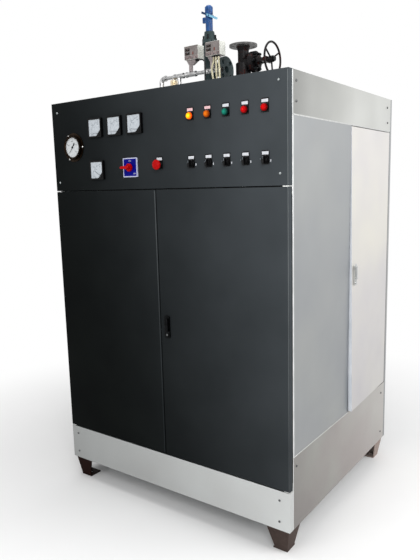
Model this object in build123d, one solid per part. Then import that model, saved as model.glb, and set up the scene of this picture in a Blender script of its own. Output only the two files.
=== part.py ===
from build123d import *
from math import radians, tan
import os

# Electric steam boiler in a sheet-steel cabinet.
# Lengths are millimetres. The origin is the centre of the cabinet's footprint at floor level,
# +Z is up, the front faces -Y, and +X is to the right for someone who faces the front.

# Cabinet, over the outside of its sheets
cabinet_width = 1200
cabinet_depth = 1040
feet_height = 100
body_height = 1685
sheet = 2

# Sheets, from the underside of the body up and from its top down
skirt_height = 163
lower_band_height = 295
side_split_from_front = 546
upper_band_height = 148
panel_height = 389
seam = 5

# Depth of the folded pans
front_pan_depth = 26
front_door_depth = 20
side_pan_depth = 22
side_door_depth = 16
rear_pan_depth = 20

# Frame of square tube
tube = 40
tube_wall = 3
mounting_plate_sheet = 3
mounting_plate_ahead_of_drum = 145
mounting_plate_below_head = 60
mounting_plate_above_floor = 120

# Corner feet
foot_top = 101
foot_bottom = 56
foot_inset = 8
foot_lean = 16
foot_wall = 4
foot_sole = 62
foot_sole_thickness = 5
anchor_hole = 14

# Door hinges: a pin on a bracket in the seam turns in a bush in the corner of the pan
hinge_inset = 6
pin_radius = 3
pin_play = 0.05
pin_length = 14
bush_radius = 5
bush_length = 12
bracket_plate = 3
bracket_tab = 2
bracket_reach = 24
bracket_drop = 30

# The side door is bent: its lower corner stands out from the cabinet
side_door_bulge = 17

# Door locks
lock_width = 26
lock_height = 94
lock_face = 6
lock_cup_depth = 11
lock_cup_inset = 4
lock_lever_width = 15
lock_lever_length = 58
lock_lever_rise = 6
lock_edge_distance = 37
lock_gap = 0.3
front_lock_height = 733
side_lock_height = 910

# Instrument places on the panel: shares of its width from the left and of its height from below
gauge_share = (0.111, 0.491)
meter_shares = [(0.2333, 0.6787), (0.3275, 0.6787), (0.4217, 0.6787), (0.2325, 0.2237)]
main_switch_share = (0.3917, 0.2339)
stop_button_share = (0.5225, 0.2455)
row_middle_share = 0.79
pilot_row_share = 0.6915
selector_row_share = 0.2391
row_pitch = 81
row_count = 5

# Pressure gauge with a panel flange
gauge_flange_radius = 62
gauge_flange_thickness = 3
gauge_rim_radius = 52
gauge_rim_height = 14
gauge_window_radius = 46
gauge_dial_depth = 8
gauge_dial_thickness = 1
gauge_case_radius = 50
gauge_case_depth = 45

# Square meters
meter_size = 80
meter_rise = 13
meter_corner = 3
meter_window = 68
meter_window_depth = 3
meter_dial_thickness = 1
meter_dial_cut = 26
meter_case = 66
meter_case_depth = 50

# Main switch
switch_plate = 78
switch_plate_rise = 5
switch_plate_corner = 3
switch_case = 60
switch_case_depth = 70
switch_spindle_radius = 6
switch_hub_radius = 17
switch_hub_height = 12
switch_grip_length = 50
switch_grip_offset = 8
switch_grip_width = 13
switch_grip_height = 18

# Control devices in 22 mm holes
device_hole_radius = 11.25
device_shank_radius = 11
device_shank_depth = 42
device_bezel_radius = 14.5
device_bezel_height = 7
device_bezel_wall = 2.6
device_recess_depth = 4
device_chamfer = 1
holder_width = 30
holder_height = 48
holder_thickness = 2
holder_rise = 7.5
holder_corner = 2
pilot_bezel_height = 5
pilot_bezel_wall = 1.2
lens_rise = 6
lens_crown = 5
spindle_radius = 5
knob_height = 5
grip_width = 8
grip_height = 9
stop_head_radius = 20
stop_head_height = 12
stop_head_crown = 5
stop_stem_radius = 8
stop_travel = 5
stop_clearance = 3
device_play = 0.3
running_play = 0.05

# Places of the steam fittings
valves_from_rear = 340
header_ahead_of_valves = 100
safety_valve_from_left = 387
stop_valve_from_left = 585

# Drum and its saddles
drum_radius = 215
drum_left_gap = 68
drum_right_gap = 128
drum_head_rise = 42
drum_flange_radius = 150
drum_flange_thickness = 20
drum_centre_height = 980
saddle_thickness = 12
saddle_width = 340
saddle_spacing = 460
saddle_wrap = 60

# Nozzles that stand on the drum and pass through the roof
safety_nozzle_radius = 17
safety_flange_radius = 62.5
safety_flange_bolt_circle = 90
stop_nozzle_radius = 24
flange_thickness = 16
bolt_hole_radius = 9.5
flange_bolt_count = 4
roof_hole_gap = 6

# Safety valve, heights above the roof
safety_inlet_height = 81
safety_outlet_height = 186
safety_outlet_reach = 100
safety_outlet_flange_radius = 62.5
safety_outlet_bolt_circle = 90
safety_outlet_neck_radius = 27
safety_outlet_bore = 16
safety_body_radius = 31
safety_neck_radius = 24
safety_body_top = 322
safety_joint_radius = 37
safety_joint_thickness = 16
safety_crown_low_radius = 29
safety_crown_high_radius = 25
safety_crown_top = 378
safety_bonnet_radius = 18
safety_bonnet_top = 462
safety_cap_radius = 20
safety_cap_top = 502
safety_cap_round = 8
lever_pin_offset = 18
lever_pin_height = 448
lever_pin_radius = 4
lever_ear_width = 12
lever_ear_gap = 1
lever_end_offset = 25
lever_end_height = 469
lever_bridge_reach = 10
lever_lug_reach = 36
lever_lug_low = 424
lever_lug_high = 450
lever_bar_width = 10
lever_bar_thickness = 4
lever_side_gap = 5

# Stop valve, heights above the roof
stop_valve_centre_height = 200
stop_inlet_reach = 90
stop_outlet_reach = 86
stop_outlet_thickness = 9
stop_flange_radius = 67.5
stop_flange_bolt_circle = 100
stop_neck_radius = 27
stop_flare = 7
stop_flare_length = 20
stop_pot_radius = 37
stop_shoulder = 7
stop_bore_radius = 20
stop_bore_depth = 60
bonnet_flange_radius = 48
bonnet_flange_thickness = 12
bonnet_flange_offset = 62
bonnet_neck_radius = 30
bonnet_dome_radius = 26
bonnet_dome_length = 16
yoke_arm_width = 16
yoke_arm_thickness = 9
yoke_arm_spread = 25
yoke_length = 38
yoke_bridge_length = 12
stem_radius = 8
stem_nut_radius = 13
stem_lift = 14
wheel_radius = 80
wheel_rim_radius = 5
wheel_hub_radius = 15
wheel_hub_length = 20
wheel_spoke_count = 3
wheel_spoke_radius = 4
wheel_dish = 6
wheel_gap = 5

# Steam header along the roof: heights from the roof, places from the left edge of the cabinet
header_height = 168
header_start = 150
header_end = 520
header_radius = 9
elbow_radius = 12
elbow_bend_radius = 20
elbow_length = 31
elbow_collar_radius = 14.5
header_drop_place = 229
header_drop_radius = 7
coupling_low = 114
coupling_length = 38
coupling_across = 32
tee_radius = 12
tee_length = 54
tee_collar_radius = 13.5
tee_collar_length = 7
header_branch_place = 265
header_branch_radius = 11
header_flange_radius = 30
header_flange_thickness = 6

# Pressure switches: their stubs stand on the header at these places from the left
switch_places = [342, 470]
switch_box_width = 84
switch_box_depth = 50
switch_box_height = 65
switch_box_bottom = 235
switch_box_shift = 13
switch_box_ahead = 14
switch_box_round = 3
switch_wedge_height = 24
switch_wedge_depth = 16
switch_wedge_inset = 3
switch_wedge_setback = 12
switch_stub_radius = 11

# Leads from the switches to the roof. The points are measured from the roof under each stub.
lead_radius = 4.5
cable_radius = 3
cable_route = [(52, -8.5, 227), (76, -8.5, 227), (96, -16, 213), (103, -22, 188),
               (104, -26, 148), (102, -25, 104), (104, -25, 55), (104, -25, 6)]
lead_routes = [
    [(15, -8.5, 227), (15, -8.5, 205), (9, -20, 175), (19, -25, 140), (26, -25, 95),
     (24, -25, 50), (24, -25, 6)],
    [(29, -8.5, 227), (29, -8.5, 206), (36, -17, 174), (41, -25, 140), (47, -24, 98),
     (44, -25, 52), (44, -25, 6)],
    [(44, -8.5, 227), (44, -8.5, 206), (53, -17, 176), (59, -25, 142), (61, -24, 98),
     (64, -25, 52), (64, -25, 6)],
]
arc_share = 0.45
gland_radius = 5.5
gland_length = 8
grommet_radius = 9
grommet_height = 6

# Cuts run past the solid by this much
overrun = 10

# Planes worked out from the sizes above
side_x = cabinet_width / 2
front_y = -cabinet_depth / 2
rear_y = cabinet_depth / 2
carcass_y = front_y + front_pan_depth
rear_pan_y = rear_y - rear_pan_depth
side_split_y = front_y + side_split_from_front
frame_x = side_x - side_pan_depth
body_z = feet_height
top_z = feet_height + body_height
skirt_z = body_z + skirt_height
door_head_z = top_z - panel_height
lower_band_z = body_z + lower_band_height
upper_band_z = top_z - upper_band_height
frame_top_z = top_z - sheet
floor_z = body_z + tube + sheet
door_low_z = skirt_z + seam / 2
door_high_z = door_head_z - seam / 2
valves_y = rear_y - valves_from_rear
header_y = valves_y - header_ahead_of_valves
plate_y = valves_y - drum_radius - mounting_plate_ahead_of_drum
plate_post_y = plate_y - tube / 2
safety_x = safety_valve_from_left - side_x
stop_x = stop_valve_from_left - side_x
header_z = top_z + header_height
stop_valve_z = top_z + stop_valve_centre_height
drum_length = (cabinet_width - drum_left_gap - drum_right_gap - 2 * drum_head_rise
               - drum_flange_thickness)
drum_x = drum_left_gap + drum_head_rise + drum_length / 2 - side_x

nodes = {}


def block(x_low, x_high, y_low, y_high, z_low, z_high):
    """A plain block between two opposite corners."""
    centre = ((x_low + x_high) / 2, (y_low + y_high) / 2, (z_low + z_high) / 2)
    return Pos(*centre) * Box(x_high - x_low, y_high - y_low, z_high - z_low)


def bar(radius, low, high):
    """A round bar along Z between two heights."""
    return Pos(0, 0, (low + high) / 2) * Cylinder(radius, high - low)


def turned(points):
    """A turned piece about Z from (radius, height) points."""
    outline = Plane.XZ * Polyline(*points, close=True)
    return revolve(make_face(outline), Axis.Z)


def hole_circle(circle_diameter, radius, low, high, count, turn=45):
    """Round holes on a bolt circle about Z, as solids to cut away."""
    spots = PolarLocations(circle_diameter / 2, count, start_angle=turn)
    return [spot * bar(radius, low, high) for spot in spots]


def degrees_of(slope):
    """Angle of a slope, in degrees."""
    return Vector(1, slope, 0).get_angle(Vector(1, 0, 0))


def node(name, *solids):
    """Keeps the solids of one named sub-part."""
    nodes[name] = Compound(children=[s for piece in solids for s in piece.solids()])


def mirrored(piece):
    """The same piece on the other side of the cabinet."""
    return mirror(piece, Plane.YZ)


# Frame of square tube

def tube_between(x_low, x_high, y_low, y_high, z_low, z_high):
    """Square tube that fills a block along its longest side, open at the ends."""
    spans = [x_high - x_low, y_high - y_low, z_high - z_low]
    run = spans.index(max(spans))
    inset = [overrun if axis == run else -tube_wall for axis in range(3)]
    bore = block(x_low - inset[0], x_high + inset[0],
                 y_low - inset[1], y_high + inset[1],
                 z_low - inset[2], z_high + inset[2])
    return block(x_low, x_high, y_low, y_high, z_low, z_high) - bore


def cross_rail(y_low, z_low):
    return tube_between(-frame_x, frame_x, y_low, y_low + tube, z_low, z_low + tube)


def side_rail(z_low):
    return tube_between(frame_x - tube, frame_x, carcass_y + tube, rear_pan_y - tube,
                        z_low, z_low + tube)


def post(y_low):
    return tube_between(frame_x - tube, frame_x, y_low, y_low + tube,
                        body_z + tube, frame_top_z - tube)


head_rail_z = door_head_z - tube
head_rail = tube_between(-frame_x + tube, frame_x - tube, carcass_y, carcass_y + tube,
                         head_rail_z, head_rail_z + tube)
node("frame_cross_rails",
     cross_rail(carcass_y, body_z), cross_rail(rear_pan_y - tube, body_z),
     cross_rail(carcass_y, frame_top_z - tube), cross_rail(rear_pan_y - tube, frame_top_z - tube),
     head_rail)

side_rails = [side_rail(body_z), side_rail(frame_top_z - tube)]
node("frame_side_rails", *side_rails, *[mirrored(rail) for rail in side_rails])

posts = [post(y) for y in (carcass_y, plate_post_y, side_split_y - tube, rear_pan_y - tube)]
node("frame_posts", *posts, *[mirrored(p) for p in posts])

node("floor_plate",
     block(-frame_x + tube, frame_x - tube, carcass_y, rear_pan_y, floor_z - sheet, floor_z))


# Feet: folded steel that narrows towards the floor, on a sole with an anchor hole

def corner_foot():
    """The right front foot."""
    corner = Pos(side_x - foot_inset, front_y + foot_inset)

    def section(size, shift, height, wall):
        middle = shift + wall + size / 2
        return corner * Pos(-middle, middle, height) * Rectangle(size, size)

    outside = loft([section(foot_bottom, foot_lean, foot_sole_thickness, 0),
                    section(foot_top, 0, feet_height, 0)], ruled=True)
    inside = loft([section(foot_bottom, foot_lean, foot_sole_thickness, foot_wall),
                   section(foot_top, 0, feet_height, foot_wall)], ruled=True)
    sole = corner * block(-foot_lean - foot_sole, -foot_lean, foot_lean, foot_lean + foot_sole,
                          0, foot_sole_thickness)
    anchor = (corner * Pos(-foot_lean - foot_sole / 2, foot_lean + foot_sole / 2)
              * bar(anchor_hole / 2, -overrun, foot_sole_thickness + overrun))
    return (outside - inside) + sole - anchor


right_foot = corner_foot()
rear_foot = mirror(right_foot, Plane.XZ)
node("corner_feet", right_foot, mirrored(right_foot), rear_foot, mirrored(rear_foot))


# Cabinet sheets, each folded as a pan with its returns towards the frame

def front_pan(x_low, x_high, z_low, z_high, depth):
    outside = block(x_low, x_high, front_y, front_y + depth, z_low, z_high)
    return outside - block(x_low + sheet, x_high - sheet,
                           front_y + sheet, front_y + depth + overrun,
                           z_low + sheet, z_high - sheet)


def side_pan(y_low, y_high, z_low, z_high, depth):
    outside = block(side_x - depth, side_x, y_low, y_high, z_low, z_high)
    return outside - block(side_x - depth - overrun, side_x - sheet,
                           y_low + sheet, y_high - sheet,
                           z_low + sheet, z_high - sheet)


top_band = side_pan(carcass_y, rear_pan_y, upper_band_z, top_z, side_pan_depth)
bottom_band = side_pan(carcass_y, rear_pan_y, body_z, lower_band_z, side_pan_depth)
front_side = side_pan(carcass_y, side_split_y, lower_band_z, upper_band_z, side_pan_depth)
rear_side = side_pan(side_split_y, rear_pan_y, lower_band_z, upper_band_z, side_pan_depth)
node("right_top_band", top_band)
node("right_bottom_band", bottom_band)
node("right_front_panel", front_side)
node("left_top_band", mirrored(top_band))
node("left_bottom_band", mirrored(bottom_band))
node("left_front_panel", mirrored(front_side))
node("left_rear_panel", mirrored(rear_side))

back_outside = block(-side_x, side_x, rear_pan_y, rear_y, body_z, top_z)
back_inside = block(-side_x + sheet, side_x - sheet, rear_pan_y - overrun, rear_y - sheet,
                    body_z + sheet, top_z - sheet)
node("back_panel", back_outside - back_inside)

node("front_skirt",
     front_pan(-side_x, side_x, body_z, skirt_z - seam / 2, front_pan_depth))


# Door hinges

front_pin_x = side_x - hinge_inset
front_pin_y = front_y + hinge_inset
side_pin_x = side_x - hinge_inset
side_pin_y = rear_pan_y - seam - hinge_inset


def hinge_bush(x, y, z_low, z_high):
    """Bush at the top or bottom corner of a door, along the hinge line."""
    return Pos(x, y) * bar(bush_radius, z_low, z_high)


def hinge_holes(x, y, z_low, z_high):
    """Holes for the pins through both ends of a door."""
    reach = sheet + bush_length + overrun
    low = Pos(x, y) * bar(pin_radius + pin_play, z_low - overrun, z_low - overrun + reach)
    high = Pos(x, y) * bar(pin_radius + pin_play, z_high + overrun - reach, z_high + overrun)
    return [low, high]


def bracket(x, y, seam_z, upwards, tab):
    """Plate in the seam with a pin into the door, and a tab on the carcass."""
    way = 1 if upwards else -1
    plate_low = seam_z - bracket_plate / 2
    plate_high = seam_z + bracket_plate / 2
    pin_end = seam_z + way * (bracket_plate / 2 + pin_length)
    pin = Pos(x, y) * bar(pin_radius, min(seam_z, pin_end), max(seam_z, pin_end))
    tab_end = seam_z + way * bracket_drop
    tab_low = min(plate_low, tab_end)
    tab_high = max(plate_high, tab_end)
    if tab == "front":
        plate = block(x + hinge_inset - bracket_reach, x + hinge_inset - pin_play,
                      front_y + sheet, carcass_y, plate_low, plate_high)
        leg = block(x + hinge_inset - bracket_reach, x + hinge_inset - pin_play,
                    carcass_y - bracket_tab, carcass_y, tab_low, tab_high)
    else:
        plate = block(frame_x, side_x - sheet, y + hinge_inset - bracket_reach, y + hinge_inset,
                      plate_low, plate_high)
        leg = block(frame_x, frame_x + bracket_tab, y + hinge_inset - bracket_reach,
                    y + hinge_inset, tab_low, tab_high)
    return plate + leg + pin


right_brackets = [bracket(front_pin_x, front_pin_y, skirt_z, True, "front"),
                  bracket(front_pin_x, front_pin_y, door_head_z, False, "front")]
node("front_hinge_brackets", *right_brackets, *[mirrored(b) for b in right_brackets])
side_low_z = lower_band_z + seam
side_high_z = upper_band_z - seam
node("side_hinge_brackets",
     bracket(side_pin_x, side_pin_y, lower_band_z + seam / 2, True, "side"),
     bracket(side_pin_x, side_pin_y, upper_band_z - seam / 2, False, "side"))


# Locks: a cup through the door, a face plate and a lever along it

def door_lock():
    """Local frame: Z out of the door from its face, Y up."""
    face = Pos(0, 0, lock_face / 2) * Box(lock_width, lock_height, lock_face)
    face = fillet(face.edges().filter_by(Axis.Z), lock_width / 4)
    cup_width = lock_width - 2 * lock_cup_inset
    cup_height = lock_height - 2 * lock_cup_inset
    cup = Pos(0, 0, -lock_cup_depth / 2) * Box(cup_width, cup_height, lock_cup_depth)
    lever = (Pos(0, (lock_height - lock_lever_length) / 4, lock_face + lock_lever_rise / 2)
             * Box(lock_lever_width, lock_lever_length, lock_lever_rise))
    lever = fillet(lever.edges().filter_by(Axis.Z), lock_lever_width / 3)
    cylinder = (Pos(0, -lock_height / 2 + lock_width / 2)
                * bar(lock_lever_width / 2, lock_face, lock_face + lock_lever_rise / 2))
    return face + cup + lever + cylinder


def lock_hole():
    """Hole in the door's sheet for the cup."""
    width = lock_width - 2 * lock_cup_inset + device_play
    height = lock_height - 2 * lock_cup_inset + device_play
    return Box(width, height, 2 * overrun)


lock_lean = degrees_of(side_door_bulge / (side_high_z - side_low_z))
front_lock_place = Pos(lock_edge_distance, front_y, body_z + front_lock_height) * Rot(90, 0, 0)
side_lock_place = (Pos(side_x + lock_gap, side_split_y + lock_edge_distance,
                       body_z + side_lock_height) * Rot(0, -lock_lean, 0)
                   * Rot(0, 0, 90) * Rot(90, 0, 0))


# Front doors

def front_door():
    """The right front door; its free edge is at the middle of the cabinet."""
    door = front_pan(seam / 2, side_x, door_low_z, door_high_z, front_door_depth)
    door += hinge_bush(front_pin_x, front_pin_y, door_low_z, door_low_z + sheet + bush_length)
    door += hinge_bush(front_pin_x, front_pin_y, door_high_z - sheet - bush_length, door_high_z)
    return door - hinge_holes(front_pin_x, front_pin_y, door_low_z, door_high_z)


node("front_door_left", mirrored(front_door()))
node("front_door_right", front_door() - front_lock_place * lock_hole())
node("front_door_lock", front_lock_place * door_lock())


# Side door, twisted about its hinge line so that the free lower corner stands out

side_door_low_y = side_split_y + seam
side_door_high_y = rear_pan_y - seam
hinge_line = Pos(side_pin_x, side_pin_y)
twist_degrees = degrees_of(side_door_bulge / (side_door_high_y - side_door_low_y))


def door_section(x_low, x_high, y_low, y_high, height, turn):
    """Rectangle of the door at one height, turned about the hinge line."""
    centre = Pos((x_low + x_high) / 2 - side_pin_x, (y_low + y_high) / 2 - side_pin_y)
    return (Pos(side_pin_x, side_pin_y, height) * Rot(0, 0, turn) * centre
            * Rectangle(x_high - x_low, y_high - y_low))


def twisted_block(x_low, x_high, y_low, y_high, z_low, z_high):
    return loft([door_section(x_low, x_high, y_low, y_high, z_low, twist_degrees),
                 door_section(x_low, x_high, y_low, y_high, z_high, 0)], ruled=True)


side_door = twisted_block(side_x - side_door_depth, side_x, side_door_low_y, side_door_high_y,
                          side_low_z, side_high_z)
side_door -= twisted_block(side_x - side_door_depth - overrun, side_x - sheet,
                           side_door_low_y + sheet, side_door_high_y - sheet,
                           side_low_z + sheet, side_high_z - sheet)
side_door += hinge_bush(side_pin_x, side_pin_y, side_low_z, side_low_z + sheet + bush_length)
side_door += hinge_bush(side_pin_x, side_pin_y, side_high_z - sheet - bush_length, side_high_z)
side_door -= hinge_holes(side_pin_x, side_pin_y, side_low_z, side_high_z)

lock_share = (side_high_z - body_z - side_lock_height) / (side_high_z - side_low_z)
side_lock_turn = (Pos(side_pin_x, side_pin_y) * Rot(0, 0, twist_degrees * lock_share)
                  * Pos(-side_pin_x, -side_pin_y))
node("side_door", side_door - side_lock_turn * side_lock_place * lock_hole())
node("side_door_lock", side_lock_turn * side_lock_place * door_lock())


# Instruments: each is built with Z out of the panel and Y up, from the panel's face

def on_panel(place_share, shift=0):
    """Location of an instrument from its place on the panel."""
    across_share, up_share = place_share
    return (Pos(across_share * cabinet_width - side_x + shift, front_y,
                door_head_z + up_share * panel_height) * Rot(90, 0, 0))


row_shifts = [row_pitch * (i - (row_count - 1) / 2) for i in range(row_count)]
pilots = [on_panel((row_middle_share, pilot_row_share), shift) for shift in row_shifts]
selectors = [on_panel((row_middle_share, selector_row_share), shift) for shift in row_shifts]
stop_button_at = on_panel(stop_button_share)
main_switch_at = on_panel(main_switch_share)
gauge_at = on_panel(gauge_share)
meters_at = [on_panel(place_share) for place_share in meter_shares]

panel = front_pan(-side_x, side_x, door_head_z + seam / 2, top_z, front_pan_depth)
round_cut = bar(device_hole_radius, -2 * overrun, overrun)
for place in pilots + selectors + [stop_button_at]:
    panel -= place * round_cut
panel -= gauge_at * bar(gauge_case_radius + device_play, -2 * overrun, overrun)
square_cut = meter_case + device_play
for place in meters_at:
    panel -= place * Box(square_cut, square_cut, 2 * overrun)
panel -= main_switch_at * Box(switch_case + device_play, switch_case + device_play, 2 * overrun)
node("instrument_panel", panel)

gauge_case = turned([(0, -gauge_case_depth), (gauge_case_radius, -gauge_case_depth),
                     (gauge_case_radius, 0), (gauge_flange_radius, 0),
                     (gauge_flange_radius, gauge_flange_thickness),
                     (gauge_rim_radius, gauge_flange_thickness),
                     (gauge_rim_radius, gauge_rim_height), (gauge_window_radius, gauge_rim_height),
                     (gauge_window_radius, gauge_dial_depth), (0, gauge_dial_depth)])
node("pressure_gauge", gauge_at * gauge_case)
node("pressure_gauge_dial",
     gauge_at * bar(gauge_window_radius - device_play, gauge_dial_depth,
                    gauge_dial_depth + gauge_dial_thickness))


def meter():
    """Square meter: rimmed front with a window, and the case behind the panel."""
    front = Pos(0, 0, meter_rise / 2) * Box(meter_size, meter_size, meter_rise)
    front = fillet(front.edges().filter_by(Axis.Z), meter_corner)
    window_z = meter_rise - meter_window_depth / 2
    front -= Pos(0, 0, window_z) * Box(meter_window, meter_window, meter_window_depth)
    case = Pos(0, 0, -meter_case_depth / 2) * Box(meter_case, meter_case, meter_case_depth)
    return front + case


def meter_dial():
    """Dial with one lower corner cut away."""
    half = (meter_window - device_play) / 2
    cut = meter_dial_cut
    outline = Polyline((-half, -half), (half - cut, -half), (half, cut - half), (half, half),
                       (-half, half), close=True)
    return Pos(0, 0, meter_rise - meter_window_depth) * extrude(make_face(outline),
                                                                meter_dial_thickness)


node("meter_cases", *[place * meter() for place in meters_at])
node("meter_dials", *[place * meter_dial() for place in meters_at])

plate = Pos(0, 0, switch_plate_rise / 2) * Box(switch_plate, switch_plate, switch_plate_rise)
plate = fillet(plate.edges().filter_by(Axis.Z), switch_plate_corner)
plate += Pos(0, 0, -switch_case_depth / 2) * Box(switch_case, switch_case, switch_case_depth)
plate -= bar(switch_spindle_radius + running_play, -switch_case_depth / 2, overrun)
node("main_switch_plate", main_switch_at * plate)

grip = Box(switch_grip_length, switch_grip_width, switch_grip_height)
grip = fillet(grip.edges().filter_by(Axis.Z), switch_grip_width / 3)
handle = bar(switch_hub_radius, switch_plate_rise + device_play, switch_plate_rise + switch_hub_height)
handle += Pos(-switch_grip_offset, 0,
              switch_plate_rise + switch_hub_height + switch_grip_height / 2) * grip
handle += bar(switch_spindle_radius, -switch_case_depth / 3, switch_plate_rise + switch_hub_height)
node("main_switch_handle", main_switch_at * handle)


def device_collar(height, wall, bore_radius):
    """Bezel with a recess and a shank through the panel; bored for a spindle if it has one."""
    low = holder_thickness
    high = holder_thickness + height
    recess = device_bezel_radius - wall
    floor = high - device_recess_depth
    chamfer = min(device_chamfer, wall / 2)
    collar = turned([(0, -device_shank_depth), (device_shank_radius, -device_shank_depth),
                     (device_shank_radius, low), (device_bezel_radius, low),
                     (device_bezel_radius, high - chamfer),
                     (device_bezel_radius - chamfer, high), (recess, high),
                     (recess, floor), (0, floor)])
    if bore_radius:
        collar -= bar(bore_radius, -device_shank_depth + sheet, high)
    return collar


def operator_collar(stem_radius):
    """Collar of a selector or a push button, with running play for its stem."""
    return device_collar(device_bezel_height, device_bezel_wall, stem_radius + running_play)


def legend_holder():
    """Plate behind the bezel that stands up above it to carry a legend."""
    holder = Pos(0, holder_rise, holder_thickness / 2) * Box(holder_width, holder_height,
                                                            holder_thickness)
    holder = fillet(holder.edges().filter_by(Axis.Z), holder_corner)
    return holder - bar(device_hole_radius, -overrun, overrun)


def lens():
    """Domed lens that stands in the pilot bezel's recess."""
    radius = device_bezel_radius - pilot_bezel_wall - device_play
    low = holder_thickness + pilot_bezel_height - device_recess_depth
    top = holder_thickness + pilot_bezel_height + lens_rise + lens_crown
    crown_radius = (radius ** 2 + lens_crown ** 2) / (2 * lens_crown)
    return bar(radius, low, top) & Pos(0, 0, top - crown_radius) * Sphere(crown_radius)


def knob():
    """Selector knob: a disc in the recess with a grip across it, on a spindle."""
    radius = device_bezel_radius - device_bezel_wall - device_play
    base = holder_thickness + device_bezel_height - device_recess_depth + device_play
    top = holder_thickness + device_bezel_height + knob_height
    disc = bar(radius, base, top)
    grip_length = 2 * (device_bezel_radius - device_chamfer)
    grip_bar = Pos(0, 0, top + grip_height / 2) * Box(grip_width, grip_length, grip_height)
    grip_bar = fillet(grip_bar.edges().filter_by(Axis.Z), grip_width / 3)
    spindle = bar(spindle_radius, -device_shank_depth / 2, top)
    return disc + grip_bar + spindle


node("pilot_bezels",
     *[place * device_collar(pilot_bezel_height, pilot_bezel_wall, 0) for place in pilots])
node("pilot_lenses", *[place * lens() for place in pilots])
node("selector_collars", *[place * operator_collar(spindle_radius) for place in selectors])
for index, place in enumerate(selectors):
    node(f"selector_knob_{index + 1}", place * knob())
node("legend_holders",
     *[place * legend_holder() for place in pilots + selectors + [stop_button_at]])

node("stop_button_collar", stop_button_at * operator_collar(stop_stem_radius))
head_low = holder_thickness + device_bezel_height + stop_travel + stop_clearance
head_high = head_low + stop_head_height
head = turned([(0, head_low), (stop_head_radius, head_low),
               (stop_head_radius, head_high - stop_head_crown),
               (stop_head_radius - stop_head_crown, head_high), (0, head_high)])
head += bar(stop_stem_radius, -device_shank_depth / 2, head_low)
node("stop_button", stop_button_at * head)


# Mounting plate behind the front doors, between the plate posts

node("mounting_plate",
     block(-frame_x + tube, frame_x - tube, plate_y - mounting_plate_sheet, plate_y,
           floor_z + mounting_plate_above_floor, head_rail_z - mounting_plate_below_head))


# Boiler drum on its saddles, with the heater flange towards the side door

drum_centre = Pos(drum_x, valves_y, drum_centre_height)
half_length = drum_length / 2
drum_skin = drum_centre * Rot(0, 90, 0) * bar(drum_radius, -half_length, half_length)


def drum():
    """Shell with dished ends along X; the heater flange is at the right end."""
    head_radius = (drum_radius ** 2 + drum_head_rise ** 2) / (2 * drum_head_rise)
    shell = bar(drum_radius, -half_length, half_length)
    dish = Pos(0, 0, half_length + drum_head_rise - head_radius) * Sphere(head_radius)
    dish &= bar(drum_radius, half_length, half_length + drum_head_rise)
    other = mirror(dish, Plane.XY)
    flange = bar(drum_flange_radius, half_length, half_length + drum_head_rise + drum_flange_thickness)
    return drum_centre * Rot(0, 90, 0) * (shell + dish + other + flange)


def saddle():
    """Upright plate cut to the drum, with a foot along the floor."""
    low = floor_z
    high = drum_centre_height - drum_radius + saddle_wrap
    plate = block(-saddle_thickness / 2, saddle_thickness / 2, valves_y - saddle_width / 2,
                  valves_y + saddle_width / 2, low, high)
    foot = block(-saddle_wrap / 2, saddle_wrap / 2, valves_y - saddle_width / 2,
                 valves_y + saddle_width / 2, low, low + saddle_thickness)
    return Pos(drum_x) * (plate + foot)


node("boiler_drum", drum())
node("drum_saddles", Pos(-saddle_spacing / 2) * saddle() - drum_skin,
     Pos(saddle_spacing / 2) * saddle() - drum_skin)


# Nozzles from the drum through the roof

def nozzle(x, radius, flange_radius, bolt_circle, height):
    """Pipe stub that stands on the drum, with a flange at its top."""
    low = drum_centre_height
    high = top_z + height
    stub = bar(radius, low, high)
    stub += bar(flange_radius, high - flange_thickness, high)
    stub -= hole_circle(bolt_circle, bolt_hole_radius, high - flange_thickness - overrun,
                        high + overrun, flange_bolt_count)
    return Pos(x, valves_y) * stub - drum_skin


stop_inlet_height = stop_valve_centre_height - stop_inlet_reach
header_x = header_start - side_x
riser = Pos(header_x, header_y) * bar(elbow_radius, drum_centre_height, top_z)
node("steam_nozzles", riser - drum_skin,
     nozzle(safety_x, safety_nozzle_radius, safety_flange_radius, safety_flange_bolt_circle,
            safety_inlet_height),
     nozzle(stop_x, stop_nozzle_radius, stop_flange_radius, stop_flange_bolt_circle,
            stop_inlet_height))


# Steam header: an elbow, a drop with a brass coupling, a branch, and tees under the switches

along_x = Rot(0, 90, 0)


def on_header(radius, start, length):
    """Round piece along the header, from its start measured from the cabinet's left edge."""
    return Pos(start - side_x, header_y, header_z) * along_x * bar(radius, 0, length)


def header_leg(place, radius):
    """Pipe from the roof up to the header."""
    return Pos(place - side_x, header_y) * bar(radius, top_z, header_z)


elbow_end = header_start + elbow_length
elbow_path = FilletPolyline((header_x, header_y, top_z), (header_x, header_y, header_z),
                            (elbow_end - side_x, header_y, header_z), radius=elbow_bend_radius)
header = sweep(Pos(header_x, header_y, top_z) * Circle(elbow_radius), path=elbow_path)
header += Pos(header_x, header_y) * bar(header_flange_radius, top_z, top_z + header_flange_thickness)
header += on_header(elbow_collar_radius, elbow_end - tee_collar_length, tee_collar_length)
header += on_header(header_radius, elbow_end - tee_collar_length,
                    header_end - elbow_end + tee_collar_length)
header += header_leg(header_drop_place, header_drop_radius)
header += header_leg(header_branch_place, header_branch_radius)
for place in [header_branch_place] + switch_places:
    header += on_header(tee_radius, place - tee_length / 2, tee_length)
    for end in (place - tee_length / 2, place + tee_length / 2):
        header += on_header(tee_collar_radius, end - tee_collar_length / 2, tee_collar_length)
header += on_header(tee_radius, header_end, tee_collar_length)
coupling = extrude(RegularPolygon(coupling_across / 2, 6, major_radius=False), coupling_length)
coupling -= bar(header_drop_radius, -overrun, coupling_length + overrun)
coupling_at = Pos(header_drop_place - side_x, header_y, top_z + coupling_low)
node("steam_header", header)
node("header_coupling", coupling_at * coupling)


# Roof panel, with holes for all that stands on it

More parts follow.
